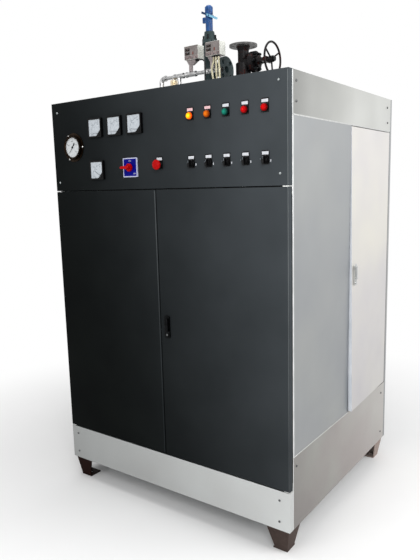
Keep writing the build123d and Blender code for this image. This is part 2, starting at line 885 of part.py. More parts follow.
roof = block(-frame_x, frame_x, carcass_y, rear_pan_y, frame_top_z, top_z)
roof -= Pos(safety_x, valves_y, top_z) * bar(safety_nozzle_radius + roof_hole_gap, -overrun, overrun)
roof -= Pos(stop_x, valves_y, top_z) * bar(stop_nozzle_radius + roof_hole_gap, -overrun, overrun)
roof -= Pos(header_x, header_y, top_z) * bar(elbow_radius + device_play, -overrun, overrun)
node("roof_panel", roof)


# Pressure switches

def pressure_switch():
    """Box on a wedge and a hexagon stub; local origin on the roof under the stub."""
    middle_y = switch_box_depth / 2 - switch_box_ahead
    box = (Pos(switch_box_shift, middle_y, switch_box_bottom + switch_box_height / 2)
           * Box(switch_box_width, switch_box_depth, switch_box_height))
    box = fillet(box.edges(), switch_box_round)
    wedge_low = switch_box_bottom - switch_wedge_height
    wedge_y = switch_wedge_setback - switch_box_ahead + switch_wedge_depth / 2
    wedge_top = Rectangle(switch_box_width - 2 * switch_wedge_inset, switch_wedge_depth)
    wedge_bottom = Rectangle(2 * switch_stub_radius, switch_wedge_depth)
    wedge = loft([Pos(0, wedge_y, wedge_low) * wedge_bottom,
                  Pos(switch_box_shift, wedge_y, switch_box_bottom) * wedge_top], ruled=True)
    stub_low = header_height + tee_radius
    stub = Pos(0, 0, stub_low) * extrude(RegularPolygon(switch_stub_radius, 6), wedge_low - stub_low)
    return box + wedge + stub


switches_at = [Pos(place - side_x, header_y, top_z) for place in switch_places]
for name, place in zip(("pressure_switch_left", "pressure_switch_right"), switches_at):
    node(name, place * pressure_switch())


# Leads: tubes of straight runs and tangent arcs, between a gland under a switch and the roof

def route_radii(points):
    """Radius of the arc at each corner of a route, as large as its two runs allow."""
    radii = []
    for before, corner, after in zip(points, points[1:], points[2:]):
        arriving = Vector(*corner) - Vector(*before)
        leaving = Vector(*after) - Vector(*corner)
        half_turn = radians(arriving.get_angle(leaving) / 2)
        radii.append(arc_share * min(arriving.length, leaving.length) / tan(half_turn))
    return radii


def lead(points, radius):
    """Tube along a route, from the gland to the roof."""
    path = FilletPolyline(*points, radius=route_radii(points))
    start = Plane(origin=points[0], z_dir=Vector(*points[1]) - Vector(*points[0]))
    return sweep(start * Circle(radius), path=path)


def gland(points):
    """Gland under the switch's box, down to the start of a lead."""
    x, y, z = points[0]
    return Pos(x, y) * bar(gland_radius, z, z + gland_length)


def elbow_gland(points):
    """Gland under the box that turns sideways to the start of the cable."""
    x, y, z = points[0]
    turn_x = x - 2 * gland_radius
    upright = Pos(turn_x, y) * bar(gland_radius, z - gland_radius, z + gland_length)
    return upright + Pos(turn_x, y, z) * along_x * bar(gland_radius, 0, x - turn_x)


def grommet(points):
    """Grommet on the roof, where a lead goes in."""
    x, y, z = points[-1]
    return Pos(x, y) * bar(grommet_radius, z - grommet_height, z)


left_at, right_at = switches_at
node("switch_cable", left_at * lead(cable_route, cable_radius))
print("switch_cable radii", [round(r) for r in route_radii(cable_route)])
for index, route in enumerate(lead_routes):
    node(f"switch_lead_{index + 1}", right_at * lead(route, lead_radius))
    print("switch_lead", index + 1, "radii", [round(r) for r in route_radii(route)])
node("cable_glands", left_at * elbow_gland(cable_route), left_at * grommet(cable_route),
     *[right_at * gland(route) for route in lead_routes],
     *[right_at * grommet(route) for route in lead_routes])


# Safety valve: turned body, side outlet, spring bonnet with ears, cap and fork lever

def safety_valve_body():
    flange_top = safety_inlet_height + flange_thickness
    joint_top = safety_body_top + safety_joint_thickness
    body = turned([(0, safety_inlet_height), (safety_flange_radius, safety_inlet_height),
                   (safety_flange_radius, flange_top), (safety_neck_radius, flange_top),
                   (safety_body_radius, flange_top + safety_body_radius),
                   (safety_body_radius, safety_body_top), (safety_joint_radius, safety_body_top),
                   (safety_joint_radius, joint_top), (safety_crown_low_radius, joint_top),
                   (safety_crown_high_radius, safety_crown_top), (0, safety_crown_top)])
    body -= hole_circle(safety_flange_bolt_circle, bolt_hole_radius,
                        safety_inlet_height - overrun, flange_top + overrun, flange_bolt_count)
    flange_low = safety_outlet_reach - flange_thickness
    outlet = bar(safety_outlet_neck_radius, 0, flange_low)
    outlet += bar(safety_outlet_flange_radius, flange_low, safety_outlet_reach)
    outlet -= hole_circle(safety_outlet_bolt_circle, bolt_hole_radius, flange_low - overrun,
                          safety_outlet_reach + overrun, flange_bolt_count)
    body += Pos(0, 0, safety_outlet_height) * along_x * outlet
    return body - Pos(0, 0, safety_outlet_height) * along_x * bar(
        safety_outlet_bore, safety_body_radius, safety_outlet_reach + overrun)


ear_y = safety_cap_radius + lever_side_gap


def safety_valve_bonnet():
    bonnet = turned([(0, safety_crown_top), (safety_bonnet_radius, safety_crown_top),
                     (safety_bonnet_radius, safety_bonnet_top),
                     (safety_cap_radius, safety_bonnet_top),
                     (safety_cap_radius, safety_cap_top - safety_cap_round),
                     (safety_cap_radius - safety_cap_round, safety_cap_top), (0, safety_cap_top)])
    lug = block(-lever_lug_reach, 0, -lever_ear_width / 2, lever_ear_width / 2,
                lever_lug_low, lever_lug_high)
    ear = block(0, lever_pin_offset + lever_ear_width / 2, -lever_ear_width / 2,
                lever_ear_width / 2, lever_pin_height - lever_ear_width / 2,
                lever_pin_height + lever_ear_width / 2)
    pin = (Pos(lever_pin_offset, 0, lever_pin_height) * Rot(90, 0, 0)
           * bar(lever_pin_radius, -ear_y - lever_bar_thickness - lever_ear_gap,
                 ear_y + lever_bar_thickness + lever_ear_gap))
    return bonnet + lug + ear + pin


def safety_valve_lever():
    """Fork: two arms beside the cap, joined behind the pin and free at their tips."""
    run = lever_pin_offset + lever_end_offset
    rise = lever_end_height - lever_pin_height
    length = (run ** 2 + rise ** 2) ** 0.5
    bridge_end = lever_bridge_reach + lever_bar_thickness
    arm = block(-length, bridge_end, -lever_bar_thickness / 2, lever_bar_thickness / 2,
                -lever_bar_width / 2, lever_bar_width / 2)
    eye = Rot(90, 0, 0) * bar(lever_bar_width / 2 + lever_ear_gap, -lever_bar_thickness / 2,
                              lever_bar_thickness / 2)
    eye_hole = Rot(90, 0, 0) * bar(lever_pin_radius + running_play, -overrun, overrun)
    side = arm + eye - eye_hole
    offset = ear_y + lever_bar_thickness / 2
    bridge = block(lever_bridge_reach, bridge_end, -offset, offset,
                   -lever_bar_width / 2, lever_bar_width / 2)
    fork = Pos(0, offset, 0) * side + Pos(0, -offset, 0) * side + bridge
    tilt = Rot(0, degrees_of(rise / run), 0)
    return Pos(lever_pin_offset, 0, lever_pin_height) * tilt * fork


safety_at = Pos(safety_x, valves_y, top_z)
node("safety_valve_body", safety_at * safety_valve_body())
node("safety_valve_bonnet", safety_at * safety_valve_bonnet())
node("safety_valve_lever", safety_at * safety_valve_lever())


# Stop valve: globe body with two flanges, bonnet with yoke to the right, stem and handwheel

def stop_valve_body():
    """Local origin at the crossing of the pipe line and the stem."""
    outlet_low = stop_outlet_reach - stop_outlet_thickness
    inlet_high = flange_thickness - stop_inlet_reach
    body = turned([(0, -stop_inlet_reach), (stop_flange_radius, -stop_inlet_reach),
                   (stop_flange_radius, inlet_high), (stop_pot_radius, inlet_high),
                   (stop_pot_radius, 0), (stop_neck_radius, stop_shoulder),
                   (stop_neck_radius, outlet_low - stop_flare_length),
                   (stop_neck_radius + stop_flare, outlet_low), (stop_flange_radius, outlet_low),
                   (stop_flange_radius, stop_outlet_reach), (0, stop_outlet_reach)])
    body += along_x * bar(bonnet_neck_radius, 0, bonnet_flange_offset)
    body += along_x * bar(bonnet_flange_radius, bonnet_flange_offset - bonnet_flange_thickness,
                          bonnet_flange_offset)
    body -= hole_circle(stop_flange_bolt_circle, bolt_hole_radius, outlet_low - overrun,
                        stop_outlet_reach + overrun, flange_bolt_count)
    body -= hole_circle(stop_flange_bolt_circle, bolt_hole_radius, -stop_inlet_reach - overrun,
                        inlet_high + overrun, flange_bolt_count)
    return body - bar(stop_bore_radius, stop_outlet_reach - stop_bore_depth,
                      stop_outlet_reach + overrun)


yoke_start = bonnet_flange_offset + bonnet_flange_thickness
yoke_end = yoke_start + bonnet_dome_length + yoke_length
stem_end = yoke_end + yoke_bridge_length + wheel_gap + wheel_hub_length


def stop_valve_bonnet():
    """Built with Z along the stem."""
    bonnet = bar(bonnet_flange_radius, bonnet_flange_offset, yoke_start)
    bonnet += bar(bonnet_dome_radius, yoke_start, yoke_start + bonnet_dome_length)
    arm_reach = yoke_arm_spread + yoke_arm_thickness / 2
    for way in (-1, 1):
        bonnet += (Pos(0, way * yoke_arm_spread, (yoke_start + yoke_end) / 2)
                   * Box(yoke_arm_width, yoke_arm_thickness, yoke_end - yoke_start))
    bonnet += (Pos(0, 0, yoke_end + yoke_bridge_length / 2)
               * Box(yoke_arm_width + yoke_arm_thickness, 2 * arm_reach, yoke_bridge_length))
    bonnet -= bar(stem_radius + running_play, yoke_start - stem_lift, stem_end)
    return along_x * bonnet


def stop_valve_stem():
    return along_x * bar(stem_radius, yoke_start, stem_end + stem_nut_radius / 2)


def stop_valve_handwheel():
    """Rim, hub and spokes about the stem, built with Z along it."""
    hub_low = yoke_end + yoke_bridge_length + wheel_gap
    hub_high = hub_low + wheel_hub_length
    rim_z = (hub_low + hub_high) / 2 + wheel_dish
    rim_line = wheel_radius - wheel_rim_radius
    hub_z = (hub_low + hub_high) / 2
    spoke_run = rim_line - wheel_hub_radius / 2
    slope = degrees_of(wheel_dish / spoke_run)
    spoke = (Pos(wheel_hub_radius / 2, 0, hub_z) * Rot(0, 90 - slope, 0)
             * bar(wheel_spoke_radius, 0, spoke_run))
    wheel = Pos(0, 0, rim_z) * Rot(0, 0, 180 / wheel_spoke_count) * Torus(rim_line, wheel_rim_radius)
    wheel += bar(wheel_hub_radius, hub_low, hub_high)
    for turn in range(wheel_spoke_count):
        wheel += Rot(0, 0, turn * 360 / wheel_spoke_count) * spoke
    wheel -= bar(stem_radius + running_play, hub_low - overrun, hub_high + overrun)
    return along_x * wheel


stop_at = Pos(stop_x, valves_y, stop_valve_z)
node("stop_valve_body", stop_at * stop_valve_body())
node("stop_valve_bonnet", stop_at * stop_valve_bonnet())
node("stop_valve_stem", stop_at * stop_valve_stem())
node("stop_valve_handwheel", stop_at * stop_valve_handwheel())

os.makedirs("parts", exist_ok=True)
for name, solid in nodes.items():
    export_step(solid, f"parts/{name}.step")
print(len(nodes), "nodes")
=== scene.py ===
import math
import bmesh
import bpy
from mathutils import Matrix, Vector


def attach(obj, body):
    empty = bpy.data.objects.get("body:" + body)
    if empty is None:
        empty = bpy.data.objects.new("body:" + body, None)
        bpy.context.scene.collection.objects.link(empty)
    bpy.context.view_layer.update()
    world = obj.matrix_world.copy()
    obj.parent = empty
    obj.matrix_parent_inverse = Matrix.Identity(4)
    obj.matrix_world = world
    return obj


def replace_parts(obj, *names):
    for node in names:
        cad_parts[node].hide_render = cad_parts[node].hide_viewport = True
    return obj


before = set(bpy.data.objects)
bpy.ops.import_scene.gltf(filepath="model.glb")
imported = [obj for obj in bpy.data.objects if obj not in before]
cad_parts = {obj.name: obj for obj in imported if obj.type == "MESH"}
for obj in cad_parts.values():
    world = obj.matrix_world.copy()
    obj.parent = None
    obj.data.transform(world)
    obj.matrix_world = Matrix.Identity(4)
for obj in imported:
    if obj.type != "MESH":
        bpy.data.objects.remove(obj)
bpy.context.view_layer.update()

# Electric steam boiler in a sheet-steel cabinet, +Z up, the front faces -Y. Places and sizes of the
# cabinet are in metres; outlines, profiles and heights of the small pieces on it are in millimetres.

MM = 0.001
QUARTER_TURN = math.pi / 2

# The photograph's view
CAMERA_PLACE = Vector((1.5426, -2.2977, 1.3991))
CAMERA_RIGHT = Vector((0.812601, 0.582274, -0.02524))
CAMERA_DOWN = Vector((0.072465, -0.143911, -0.986934))
CAMERA_LENS_MM = 37.04
CAMERA_SENSOR_MM = 36.0
CAMERA_REACH = 60

# Cabinet
WIDTH = 1.2
DEPTH = 1.04
FEET = 0.1
TOP = 1.785
FRONT = -DEPTH / 2
REAR = DEPTH / 2
SIDE = WIDTH / 2
PANEL_HEIGHT = 0.389
DOOR_HEAD = TOP - PANEL_HEIGHT
DOOR_FOOT = 0.262
CARCASS = FRONT + 0.026
SIDE_SPLIT_LOW = FEET + 0.295
SIDE_SPLIT_HIGH = TOP - 0.148
SIDE_DOOR_FRONT = min(v.co.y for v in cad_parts["side_door"].data.vertices)

# Roof fittings
VALVES_Y = REAR - 0.34
HEADER_Y = VALVES_Y - 0.1
SAFETY_VALVE_X = 0.387
STOP_VALVE_X = 0.585
STOP_VALVE_STEM = TOP + 0.2
OUTLET_FLANGE = TOP + 0.2765
SWITCH_BOX_FOOT = TOP + 0.235


def from_left(x):
    """X of a place measured in metres from the cabinet's left edge."""
    return x - SIDE


def place_camera():
    """Camera at the photograph's viewpoint, level to about one and a half degrees."""
    data = bpy.data.cameras.new("camera")
    data.sensor_width = CAMERA_SENSOR_MM
    data.lens = CAMERA_LENS_MM
    data.clip_end = CAMERA_REACH
    camera = bpy.data.objects.new("camera", data)
    forward = CAMERA_RIGHT.cross(CAMERA_DOWN)
    axes = Matrix((CAMERA_RIGHT, -CAMERA_DOWN, -forward)).transposed()
    axes = axes.to_quaternion().to_matrix()
    camera.matrix_world = Matrix.Translation(CAMERA_PLACE) @ axes.to_4x4()
    bpy.context.collection.objects.link(camera)
    bpy.context.scene.camera = camera


place_camera()


# Materials

# Sockets of a colour mix, which share their names and so go by number
MIX_SHARE, MIX_FIRST, MIX_SECOND, MIX_RESULT = 0, 6, 7, 2


def linear(hex_colour):
    """Linear colour with alpha, from an sRGB hex value."""
    parts = [int(hex_colour[i:i + 2], 16) / 255 for i in (1, 3, 5)]
    return tuple(p / 12.92 if p <= 0.04045 else ((p + 0.055) / 1.055) ** 2.4 for p in parts) + (1,)


def add(material, kind, inputs, **settings):
    """Adds a shader node with its settings. An input is a plain value or another node's output."""
    node = material.node_tree.nodes.new(kind)
    for name, value in settings.items():
        setattr(node, name, value)
    for socket, value in inputs.items():
        if isinstance(value, bpy.types.NodeSocket):
            material.node_tree.links.new(value, node.inputs[socket])
        else:
            node.inputs[socket].default_value = value
    return node


def blank(name):
    """A new material with no nodes but the coordinates of its object, in metres."""
    material = bpy.data.materials.new(name)
    material.use_nodes = True
    material.node_tree.nodes.clear()
    place = add(material, "ShaderNodeTexCoord", {}).outputs["Object"]
    return material, place


def finished(material, surface):
    """The material, with this node as its surface."""
    add(material, "ShaderNodeOutputMaterial", {"Surface": surface.outputs[0]})
    return material


def per_metre(size_mm):
    """Noise scale whose features are about this many millimetres across."""
    return 1000 / size_mm


def mottled(material, place, low, high, size_mm, detail=3.0, seed=0.0):
    """Colour that wanders between two hex colours in patches of a real size."""
    noise = add(material, "ShaderNodeTexNoise",
                {"Vector": place, "W": seed, "Scale": per_metre(size_mm), "Detail": detail},
                noise_dimensions="4D")
    ramp = add(material, "ShaderNodeValToRGB", {"Fac": noise.outputs["Fac"]})
    for stop, position, colour in zip(ramp.color_ramp.elements, (0.32, 0.68), (low, high)):
        stop.position = position
        stop.color = linear(colour)
    return ramp.outputs["Color"]


def varied(material, place, low, high, size_mm, seed=0.0):
    """Number that wanders between two values in patches of a real size."""
    noise = add(material, "ShaderNodeTexNoise",
                {"Vector": place, "W": seed, "Scale": per_metre(size_mm), "Detail": 3.0},
                noise_dimensions="4D")
    span = add(material, "ShaderNodeMapRange",
               {"Value": noise.outputs["Fac"], "From Min": 0.3, "From Max": 0.7,
                "To Min": low, "To Max": high})
    return span.outputs["Result"]


def grained(material, place, size_mm, height_mm, strength, detail=2.0, rounding_mm=0.0):
    """Normal of a surface with fine relief, and with its edges rounded if asked."""
    noise = add(material, "ShaderNodeTexNoise",
                {"Vector": place, "Scale": per_metre(size_mm), "Detail": detail})
    inputs = {"Height": noise.outputs["Fac"], "Distance": height_mm * MM, "Strength": strength}
    if rounding_mm:
        edge = add(material, "ShaderNodeBevel", {"Radius": rounding_mm * MM}, samples=4)
        inputs["Normal"] = edge.outputs["Normal"]
    return add(material, "ShaderNodeBump", inputs).outputs["Normal"]


def drift(material, place, slope, middle):
    """Number from 0 to 1 that changes steadily along the part and levels off softly at 0:
    its slope per metre, and its value at the origin."""
    along = add(material, "ShaderNodeVectorMath", {0: place, 1: slope}, operation="DOT_PRODUCT")
    shifted = add(material, "ShaderNodeMath", {0: along.outputs["Value"], 1: middle}, operation="ADD")
    softened = add(material, "ShaderNodeMath", {0: shifted.outputs[0], 1: 0.0, 2: 0.4},
                   operation="SMOOTH_MAX", use_clamp=True)
    return softened.outputs[0]


def painted_light_blend(material, place, start_tones, end_tones, size_mm, slope, middle):
    """Colour of a coat that changes steadily along the part from one pair of tones to another: painted
    light and shade.
    """
    colour = add(material, "ShaderNodeMix",
                 {MIX_SHARE: drift(material, place, slope, middle),
                  MIX_FIRST: mottled(material, place, *start_tones, size_mm),
                  MIX_SECOND: mottled(material, place, *end_tones, size_mm)}, data_type="RGBA")
    return colour.outputs[MIX_RESULT]


def powder_coat(name, dark_tones, lit_tones, slope, middle):
    """Polyester powder coat, sprayed and baked: dark, satin, with a fine orange-peel skin.
    Its colour turns greyer towards the upper right, which is painted light and sheen."""
    material, place = blank(name)
    surface = add(material, "ShaderNodeBsdfPrincipled", {
        "Base Color": painted_light_blend(material, place, dark_tones, lit_tones, 260, slope, middle),
        "Roughness": varied(material, place, 0.40, 0.50, size_mm=90),
        "Specular IOR Level": 0.02,
        "Normal": grained(material, place, size_mm=1.6, height_mm=0.05, strength=0.35, rounding_mm=1.2)})
    return finished(material, surface)


def brushed_sheet(name, low, high, roughness, stretch, seed, slope, middle):
    """Stainless sheet with a brushed grain, drawn coarser than real so that it shows.
    It is duller where hands and floor dust reach it, so its tone drifts along the part."""
    material, place = blank(name)
    stains = mottled(material, place, low, high, size_mm=420, detail=2.5, seed=seed)
    toned = add(material, "ShaderNodeVectorMath",
                {0: stains, "Scale": drift(material, place, slope, middle)}, operation="SCALE")
    along = add(material, "ShaderNodeMapping", {"Vector": place, "Scale": stretch})
    lines = add(material, "ShaderNodeTexNoise",
                {"Vector": along.outputs["Vector"], "Scale": per_metre(3.0), "Detail": 4.0})
    edge = add(material, "ShaderNodeBevel", {"Radius": 1.2 * MM}, samples=4)
    relief = add(material, "ShaderNodeBump",
                 {"Height": lines.outputs["Fac"], "Distance": 0.05 * MM, "Strength": 0.25,
                  "Normal": edge.outputs["Normal"]})
    surface = add(material, "ShaderNodeBsdfPrincipled", {
        "Base Color": toned.outputs["Vector"],
        "Metallic": 1.0,
        "Roughness": varied(material, place, roughness - 0.05, roughness + 0.06, 160, seed),
        "Normal": relief.outputs["Normal"]})
    return finished(material, surface)


def bare_metal(name, low, high, roughness, size_mm=14):
    """Turned, drawn or plated metal with faint stains."""
    material, place = blank(name)
    surface = add(material, "ShaderNodeBsdfPrincipled", {
        "Base Color": mottled(material, place, low, high, size_mm),
        "Metallic": 1.0,
        "Roughness": varied(material, place, roughness - 0.06, roughness + 0.08, size_mm),
        "Normal": grained(material, place, size_mm=0.9, height_mm=0.05, strength=0.2, rounding_mm=0.6)})
    return finished(material, surface)


def enamel(name, low, high, roughness, size_mm=18, sag_mm=0.12):
    """Brushed-on or sprayed enamel on metal: a smooth film with slight sags."""
    material, place = blank(name)
    surface = add(material, "ShaderNodeBsdfPrincipled", {
        "Base Color": mottled(material, place, low, high, size_mm),
        "Roughness": varied(material, place, roughness - 0.06, roughness + 0.08, size_mm),
        "Specular IOR Level": 0.3,
        "Normal": grained(material, place, size_mm=2.2, height_mm=sag_mm, strength=0.35, rounding_mm=0.8)})
    return finished(material, surface)


def enamel_with_painted_light(name, start_tones, end_tones, slope, middle, gloss):
    """Enamel whose tone changes from one end of the part to the other, as painted light and shade."""
    material, place = blank(name)
    surface = add(material, "ShaderNodeBsdfPrincipled", {
        "Base Color": painted_light_blend(material, place, start_tones, end_tones, 14, slope, middle),
        "Roughness": varied(material, place, 0.42, 0.56, size_mm=14),
        "Specular IOR Level": gloss,
        "Normal": grained(material, place, size_mm=2.2, height_mm=0.15, strength=0.35, rounding_mm=0.8)})
    return finished(material, surface)


def painted_casting(name, low, high, rust, rust_share):
    """Sand-cast iron under thin paint: a rough skin, with rust where the paint has gone."""
    material, place = blank(name)
    paint = mottled(material, place, low, high, size_mm=16)
    rusty = mottled(material, place, rust, "#2a1512", size_mm=5, detail=5.0)
    where = add(material, "ShaderNodeTexNoise",
                {"Vector": place, "Scale": per_metre(26), "Detail": 6.0, "Roughness": 0.7})
    mask = add(material, "ShaderNodeMapRange",
               {"Value": where.outputs["Fac"], "From Min": 0.64 - rust_share,
                "From Max": 0.70 - rust_share})
    colour = add(material, "ShaderNodeMix",
                 {MIX_SHARE: mask.outputs["Result"], MIX_FIRST: paint, MIX_SECOND: rusty},
                 data_type="RGBA")
    rough = add(material, "ShaderNodeMapRange",
                {"Value": mask.outputs["Result"], "To Min": 0.36, "To Max": 0.9})
    surface = add(material, "ShaderNodeBsdfPrincipled", {
        "Base Color": colour.outputs[MIX_RESULT],
        "Roughness": rough.outputs["Result"],
        "Specular IOR Level": 0.13,
        "Normal": grained(material, place, size_mm=2.6, height_mm=0.5, strength=0.5, detail=4.0,
                          rounding_mm=1.0)})
    return finished(material, surface)


def moulding(name, low, high, roughness, grain=0.2, gloss=0.5):
    """Injection-moulded plastic with a slight tool texture."""
    material, place = blank(name)
    surface = add(material, "ShaderNodeBsdfPrincipled", {
        "Base Color": mottled(material, place, low, high, size_mm=9),
        "Roughness": varied(material, place, roughness - 0.04, roughness + 0.05, size_mm=6),
        "IOR": 1.49,
        "Specular IOR Level": gloss,
        "Normal": grained(material, place, size_mm=0.8, height_mm=0.04, strength=grain, rounding_mm=0.5)})
    return finished(material, surface)


def lens_plastic(name, rim, centre, glow, middle):
    """Ribbed polycarbonate lens; the lamp behind it brightens the middle."""
    material, place = blank(name)
    gap = add(material, "ShaderNodeVectorMath", {0: place, 1: middle}, operation="DISTANCE")
    spot = add(material, "ShaderNodeMapRange",
               {"Value": gap.outputs["Value"], "From Min": 0.003, "From Max": 0.013,
                "To Min": 1.0, "To Max": 0.0})
    colour = add(material, "ShaderNodeMix",
                 {MIX_SHARE: spot.outputs["Result"], MIX_FIRST: linear(rim), MIX_SECOND: linear(centre)},
                 data_type="RGBA")
    surface = add(material, "ShaderNodeBsdfPrincipled", {
        "Base Color": colour.outputs[MIX_RESULT],
        "Roughness": varied(material, place, 0.14, 0.24, size_mm=5),
        "IOR": 1.58,
        "Specular IOR Level": 0.04,
        "Emission Color": colour.outputs[MIX_RESULT],
        "Emission Strength": glow,
        "Normal": grained(material, place, size_mm=2.4, height_mm=0.25, strength=0.5)})
    return finished(material, surface)


def enamel_above_casting(name, enamel_tones, casting_tones, level):
    """Light enamel on a sheet housing, and the duller casting that carries it, below a height."""
    material, place = blank(name)
    height = add(material, "ShaderNodeSeparateXYZ", {"Vector": place})
    above = add(material, "ShaderNodeMapRange",
                {"Value": height.outputs["Z"], "From Min": level - 0.5 * MM,
                 "From Max": level + 0.5 * MM})
    colour = add(material, "ShaderNodeMix",
                 {MIX_SHARE: above.outputs["Result"],
                  MIX_FIRST: mottled(material, place, *casting_tones, size_mm=8),
                  MIX_SECOND: mottled(material, place, *enamel_tones, size_mm=30)}, data_type="RGBA")
    surface = add(material, "ShaderNodeBsdfPrincipled", {
        "Base Color": colour.outputs[MIX_RESULT],
        "Roughness": varied(material, place, 0.36, 0.48, size_mm=20),
        "Specular IOR Level": 0.35,
        "Normal": grained(material, place, size_mm=2.2, height_mm=0.1, strength=0.3, rounding_mm=1.0)})
    return finished(material, surface)


def sleeving(name, low, high, braid_mm):
    """Woven glass-fibre sleeving; the braid is drawn coarse enough to show."""
    material, place = blank(name)
    turned_place = add(material, "ShaderNodeMapping", {"Vector": place, "Rotation": (0.6, 0.2, 0.78)})
    braid = add(material, "ShaderNodeTexVoronoi",
                {"Vector": turned_place.outputs["Vector"], "Scale": per_metre(braid_mm)})
    relief = add(material, "ShaderNodeBump",
                 {"Height": braid.outputs["Distance"], "Distance": 0.5 * MM, "Strength": 0.6})
    surface = add(material, "ShaderNodeBsdfPrincipled", {
        "Base Color": mottled(material, place, low, high, size_mm=12, detail=5.0),
        "Roughness": 0.85,
        "Sheen Weight": 0.2,
        "Normal": relief.outputs["Normal"]})
    return finished(material, surface)


# Brushed grain is squeezed by these factors, so it runs along the axes that have a 1
GRAIN_UP = (12, 12, 1)
GRAIN_LEVEL = (1, 1, 12)
GRAIN_ACROSS = (1, 12, 12)

# Doors and panel: near black at the lower left, a grey of painted light and sheen at the upper right
door_coat = powder_coat("door powder coat, anthracite", ("#060808", "#0b0e0d"), ("#565c60", "#60666b"),
                        slope=(0.574, 0, 0.22), middle=-0.125)
# Door edges: a lighter grey strip that paints the highlight along each edge, with the same painted sheen
door_edge_highlight = powder_coat("door edge, painted highlight", ("#14181a", "#1e2224"), ("#6a6f71", "#7a7f81"),
                        slope=(0.85, 0, 0.5), middle=-0.27)

# Stainless sheets: soft and streaky, the side door nearly white, the roof dull. No metal's roughness
# wanders across 0.27, where the renderer's clean-up of noise changes and leaves a visible line.
side_sheet = brushed_sheet("brushed stainless side sheet", "#a7aaad", "#b3b5b4", 0.34, GRAIN_UP,
                           seed=0.0, slope=(0, 0, 0.2), middle=0.66)
door_sheet = brushed_sheet("brushed stainless side door", "#dedbdd", "#eeebe2", 0.34, GRAIN_UP,
                           seed=4.0, slope=(0, 0, 0.24), middle=0.64)
top_sheet = brushed_sheet("brushed stainless top bands", "#cccdc9", "#dedfdc", 0.34, GRAIN_LEVEL,
                          seed=7.0, slope=(0, 0.9, 0), middle=0.945)
foot_sheet = brushed_sheet("brushed stainless bottom bands", "#b8b1ae", "#c6c9c2", 0.34, GRAIN_LEVEL,
                           seed=3.0, slope=(0, 0.45, 0), middle=0.74)
skirt_sheet = brushed_sheet("brushed stainless skirt", "#c6c7c6", "#d3d6d5", 0.42, GRAIN_ACROSS,
                            seed=2.0, slope=(0.36, 0, 0), middle=0.79)
roof_sheet = brushed_sheet("stainless roof sheet", "#9a9c9c", "#aaacac", 0.45, GRAIN_ACROSS,
                           seed=9.0, slope=(0, 0, 0), middle=1.0)

# Folds and small metal parts: the folds and seam strips are bright strips of painted highlight; the small
# parts are bright where a tool or a hand has polished them
fold_highlight = bare_metal("folded edge, painted highlight", "#d2d4d3", "#eceded", 0.35, 60)
side_door_highlight = enamel("edge of the side door, painted white highlight", "#d0d6de", "#e2e6ec", 0.5, 60)
zinc_sheet = bare_metal("galvanised sheet", "#8e9394", "#a4a9aa", 0.45, 30)
zinc_and_seam_highlight = bare_metal("bright zinc plate", "#c4c5c3", "#dcdddb", 0.35)
screw_steel = bare_metal("tarnished screw steel", "#515253", "#737475", 0.4, 6)
black_steel = bare_metal("blackened bolt steel", "#131415", "#252628", 0.42, 8)
pipe_steel = bare_metal("stainless pipe", "#8c8c8e", "#cfcfce", 0.19, 12)
brass = bare_metal("tarnished brass", "#c3ae88", "#ecdfc6", 0.35, 22)
gauge_bezel = bare_metal("blackened bronze bezel", "#140e0a", "#2c2015", 0.36)
lock_metal = bare_metal("dark die-cast lock", "#0e0f10", "#1c1d1e", 0.35)
lock_chrome = bare_metal("bright chromed lock", "#b2b4b4", "#d4d5d4", 0.19)

# Paints: the feet are dark brown at the front left and turn a lighter grey towards the rear right, painted
# light over their brown primer
foot_paint = enamel_with_painted_light("brown primer on the feet, worn to grey steel", ("#130604", "#200d08"),
                         ("#a2928b", "#b6a69e"), slope=(0.30, 0.65, 0), middle=0.26, gloss=0.02)
frame_paint = enamel("grey primer on the frame", "#3b4043", "#474c4f", 0.6, 80)
drum_paint = enamel("heat-resistant grey paint", "#62676a", "#74797c", 0.55, 120, sag_mm=0.3)
bonnet_paint = enamel("blue enamel on the spring bonnet", "#0b2f5e", "#1a5392", 0.34)
# The lever's light blue over most of its length is a painted highlight
lever_paint = enamel_with_painted_light("blue enamel on the lever, with a painted highlight", ("#12294a", "#1d3f66"),
                          ("#6fb0d2", "#9dd2ea"), slope=(97, 70, 0), middle=9.98, gloss=0.2)
valve_iron = painted_casting("black paint over cast iron, rusted", "#0a090a", "#171416", "#44160f", 0.07)
flange_painted_light = painted_casting("cast flange, painted light grey", "#4c4c4c", "#6e6d6c", "#4a342c", 0.0)
body_iron = painted_casting("dark teal paint over cast iron", "#263336", "#394647", "#3a2a22", 0.02)
switch_enamel = enamel_above_casting("grey enamel of the switches", ("#d2d3cc", "#e6e7e0"),
                                     ("#857c7d", "#a39a9a"), SWITCH_BOX_FOOT)
# The covers are a darker grey than the housings: painted shade on the fronts, which face away from the
# light
cover_in_painted_shade = enamel("warm grey cover of the switches, painted shade", "#716a68", "#857e7c", 0.45, 26)

# Plastics and prints: clean, even colours with a soft sheen
terminal_resin = moulding("mottled terminal strip", "#5b4a4a", "#9a8c8a", 0.5, 0.3, 0.3)
black_moulding = moulding("black moulded plastic", "#050506", "#0c0c0d", 0.32, 0.2, 0.12)
frame_moulding = moulding("pale moulded frame", "#b4b8d6", "#c9ccdf", 0.3)
blue_face = moulding("deep blue face plate", "#02066c", "#080d88", 0.35, 0.2, 0.05)
red_moulding = moulding("red moulded plastic", "#a00305", "#b80606", 0.34, 0.2, 0.08)
tab_red = moulding("faded red setting tab", "#6e4540", "#84524a", 0.45, 0.2, 0.1)
dial_print = moulding("white dial card", "#b3bac1", "#c8ced3", 0.45, 0.05, 0.2)
gauge_card = moulding("white gauge card", "#c4c8ca", "#d4d7d8", 0.45, 0.05, 0.2)
legend_white = moulding("white legend plate", "#d3d6dc", "#e1e3e9", 0.4, 0.05, 0.3)
